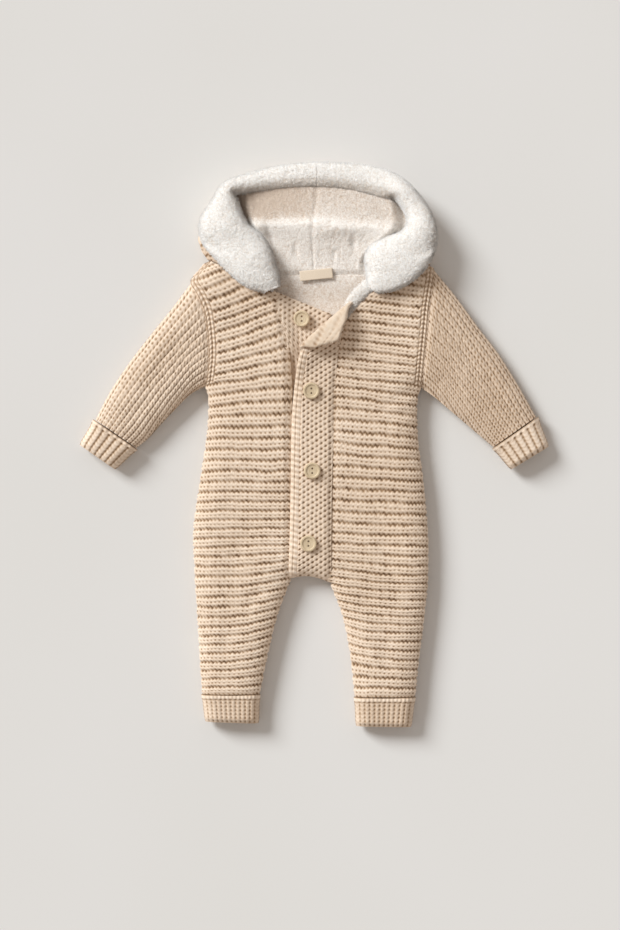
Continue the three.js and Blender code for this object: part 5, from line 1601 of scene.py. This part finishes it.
@dataclass
class NeckEdge:
    """The fleece that turns over the neck's edge, from under the right brim to the lapel."""

    path: Table = field(default_factory=lambda: Table(
        "place x y z radius",
        (0, 66, 180, 22, 7.5), (1, 58.5, 174, 23, 7.5), (2, 50, 166, 23.4, 7), (3, 42.5, 157, 23.4, 6.2),
        (4, 37.5, 148.5, 23.4, 5.4), (5, 34, 139.5, 23, 4),
    ))

    def skin(self, along: np.ndarray, around: np.ndarray) -> Sampled:
        """The roll's skin."""
        place, step = self.path.place_at(along), 0.05
        middle = self.path_point(place)
        ahead = self.path_point(np.minimum(place + step, self.path.places[-1]))
        run = ahead - self.path_point(np.maximum(place - step, 0))
        run = run / np.maximum(np.linalg.norm(run, axis=1), 1e-6)[:, None]
        turn = 2 * np.pi * around
        radius = self.path.read("radius", place) * np.sin(np.pi * (0.06 + 0.88 * along)) ** 0.35
        sideways = np.column_stack([-run[:, 1], run[:, 0]]) * (radius * np.cos(turn))[:, None]
        z = self.path.read("z", place) + radius * 0.42 * np.sin(turn)
        places = np.column_stack([middle + sideways, z])
        lift, depth = fleece_lift(places, 1.6, 41)
        places[:, 2] += lift * np.clip(np.sin(turn), 0, 1)
        return Sampled(places, np.clip(depth + 0.3 * along, 0, 1), places[:, :2] / STITCH)

    def path_point(self, place: np.ndarray) -> np.ndarray:
        """The roll's middle line, as points of shape (n, 2)."""
        return np.column_stack([self.path.read("x", place), self.path.read("y", place)])

    def build(self, fleece: bpy.types.Material) -> None:
        patch = Patch("neck_edge_pile")
        patch.add(self.skin, 48, 26, tube=True)
        patch.close_ends()
        piece = patch.finish(fleece)
        declare(piece, "fleece")
        Pile("neck_edge_tufts", count=2600, seed=43, length=2.6).build(piece, fleece)


@dataclass
class NeckLabel:
    """A bare woven label, sewn down at its two ends."""

    x: float = 2.5
    y: float = 187.0
    width: float = 36.0
    height: float = 11.0
    thickness: float = 0.8
    turn: float = 0.1
    level: float = 17.3

    def face(self, along: np.ndarray, across: np.ndarray, top: bool) -> Sampled:
        """One face of the tape."""
        sideways, upwards = (across - 0.5) * self.width, (along - 0.5) * self.height
        x = self.x + sideways * math.cos(self.turn) - upwards * math.sin(self.turn)
        y = self.y + sideways * math.sin(self.turn) + upwards * math.cos(self.turn)
        z = self.level + 0.8 * np.sin(np.pi * across) + (self.thickness if top else 0)
        return plain(np.column_stack([x, y]), z)

    def build(self, tape: bpy.types.Material) -> None:
        faces = [(partial(self.face, top=top), 10, 30) for top in (True, False)]
        piece = wall_of("neck_label_tape", faces, tape)
        declare(piece, "label_tape", "neck_label", flat=(0.036, 0.011), rests_on=["back_neck_lining_pile"])


@dataclass
class Studio:
    """The pale surface, the soft light from the upper left, and the camera straight above."""

    mm_per_pixel: float = 1.09
    frame_pixels: tuple[int, int] = (620, 930)
    origin_pixel: tuple[float, float] = (314.0, 446.0)
    camera_height: float = 2.4
    subject_height: float = 0.02
    sensor: float = 36.0
    key_energy: float = 3.3
    key_width: float = math.radians(24)
    fill_strength: float = 0.44

    def build(self) -> None:
        """Makes the floor, the lights and the camera."""
        self.floor()
        self.lights()
        self.camera()

    def floor(self) -> None:
        """A wide plane at the height of the garment's underside."""
        bm = bmesh.new()
        bmesh.ops.create_grid(bm, x_segments=1, y_segments=1, size=3.0)
        mesh = bpy.data.meshes.new("floor")
        bm.to_mesh(mesh)
        bm.free()
        mesh.materials.append(PaintedBoard("rolled_matt_paint").build())
        floor = bpy.data.objects.new("floor", mesh)
        bpy.context.scene.collection.objects.link(floor)

    def lights(self) -> None:
        """A broad key light from the upper left and an even fill from all round."""
        key = bpy.data.lights.new("key", "SUN")
        key.energy = self.key_energy
        key.angle = self.key_width
        key.color = (0.955, 0.985, 1.0)
        lamp = bpy.data.objects.new("key", key)
        direction = Vector((0.64, -0.5, -0.48))
        lamp.rotation_euler = direction.to_track_quat("-Z", "Y").to_euler()
        bpy.context.scene.collection.objects.link(lamp)
        world = bpy.data.worlds.new("room")
        world.use_nodes = True
        background = world.node_tree.nodes["Background"]
        background.inputs["Color"].default_value = (1.0, 0.91, 0.835, 1.0)
        background.inputs["Strength"].default_value = self.fill_strength
        bpy.context.scene.world = world

    def camera(self) -> None:
        """A long lens straight above, framed as the photograph is."""
        width, height = self.frame_pixels
        x = (width / 2 - self.origin_pixel[0]) * self.mm_per_pixel * MM
        y = (self.origin_pixel[1] - height / 2) * self.mm_per_pixel * MM
        data = bpy.data.cameras.new("camera")
        data.sensor_fit = "VERTICAL"
        data.sensor_height = self.sensor
        seen_height = height * self.mm_per_pixel * MM
        data.lens = self.sensor * (self.camera_height - self.subject_height) / seen_height
        camera = bpy.data.objects.new("camera", data)
        camera.location = Vector((x, y, self.camera_height)) + Vector(CENTRE * MM)
        bpy.context.scene.collection.objects.link(camera)
        bpy.context.scene.camera = camera
        bpy.context.scene.view_settings.view_transform = "Standard"


SLEEVE_CUFF = {"top": 20.5, "rise": 0.4, "side": 0.7, "flat": (0.11, 0.03), "ribs": 7}
LEG_CUFF = {
    "top": 21.5, "rise": 1.3, "side": 0.5, "flat": (0.13, 0.031), "ribs": 12, "bead": 0.5, "shade": 0.2,
    "groove": 0.72, "lip": 0.14,
}
CUFFS = (
    Cuff("left_sleeve_cuff", ((-241, 29), (-193.5, -3.5)), ((-257, 2), (-217, -26)), **SLEEVE_CUFF),
    Cuff("right_sleeve_cuff", ((245, 32), (195.5, -2.5)), ((257.5, 0), (215, -26)), **SLEEVE_CUFF),
    Cuff("left_leg_cuff", ((-123, -271.5), (-59, -271.5)), ((-119.5, -301), (-60, -303)), **LEG_CUFF),
    Cuff("right_leg_cuff", ((111, -274.5), (44, -274.5)), ((107, -307), (45.5, -306)), **LEG_CUFF),
)


def main() -> None:
    """Builds the garment piece by piece."""
    logging.basicConfig(level=logging.INFO, format="%(message)s")
    Studio().build()
    yarn = SpunYarn("spun_cotton_yarn").build()
    facing = SpunYarn("fine_cotton_facing", crest="#e2d3c1", face="#d6c1aa", groove="#a98b6f").build()
    fleece = SherpaFleece("sherpa_fleece").build()
    # The lining is a copy of the fleece with a darker, warmer root: painted shade inside the hood.
    lining = SherpaFleece("sherpa_lining_painted_shade", tip="#fffaf4", root="#d8c6b5").build()
    BackPanel().build(yarn)
    FrontPanel("left_front", LEFT_FRONT, (0.11, 0.42)).build(yarn)
    FrontPanel("right_front", RIGHT_FRONT, (0.11, 0.42), band_dip=0.35).build(yarn)
    ButtonStand().build(yarn)
    ButtonholeBand().build(yarn, facing)
    Sleeve("left_sleeve", LEFT_SLEEVE, LEFT_FRONT, 2.0).build(yarn)
    Sleeve("right_sleeve", RIGHT_SLEEVE, RIGHT_FRONT, 0.0, 0.1).build(yarn)
    for cuff in CUFFS:
        cuff.build(yarn)
    HoodOutside().build(yarn)
    HoodLining("left", 11).build(lining)
    HoodLining("right", 12).build(lining)
    HoodBrim("left", LEFT_BRIM, 21).build(fleece)
    HoodBrim("right", RIGHT_BRIM, 22).build(fleece)
    NeckLining().build(lining)
    NeckEdge().build(fleece)
    NeckLabel().build(WovenTape("plain_woven_tape").build())
    wood = TurnedWood("turned_wood").build()
    for number in range(1, 5):
        node = bpy.data.objects[f"button_{number}"]
        node.data.materials.clear()
        node.data.materials.append(wood)


if __name__ == "__main__":
    main()
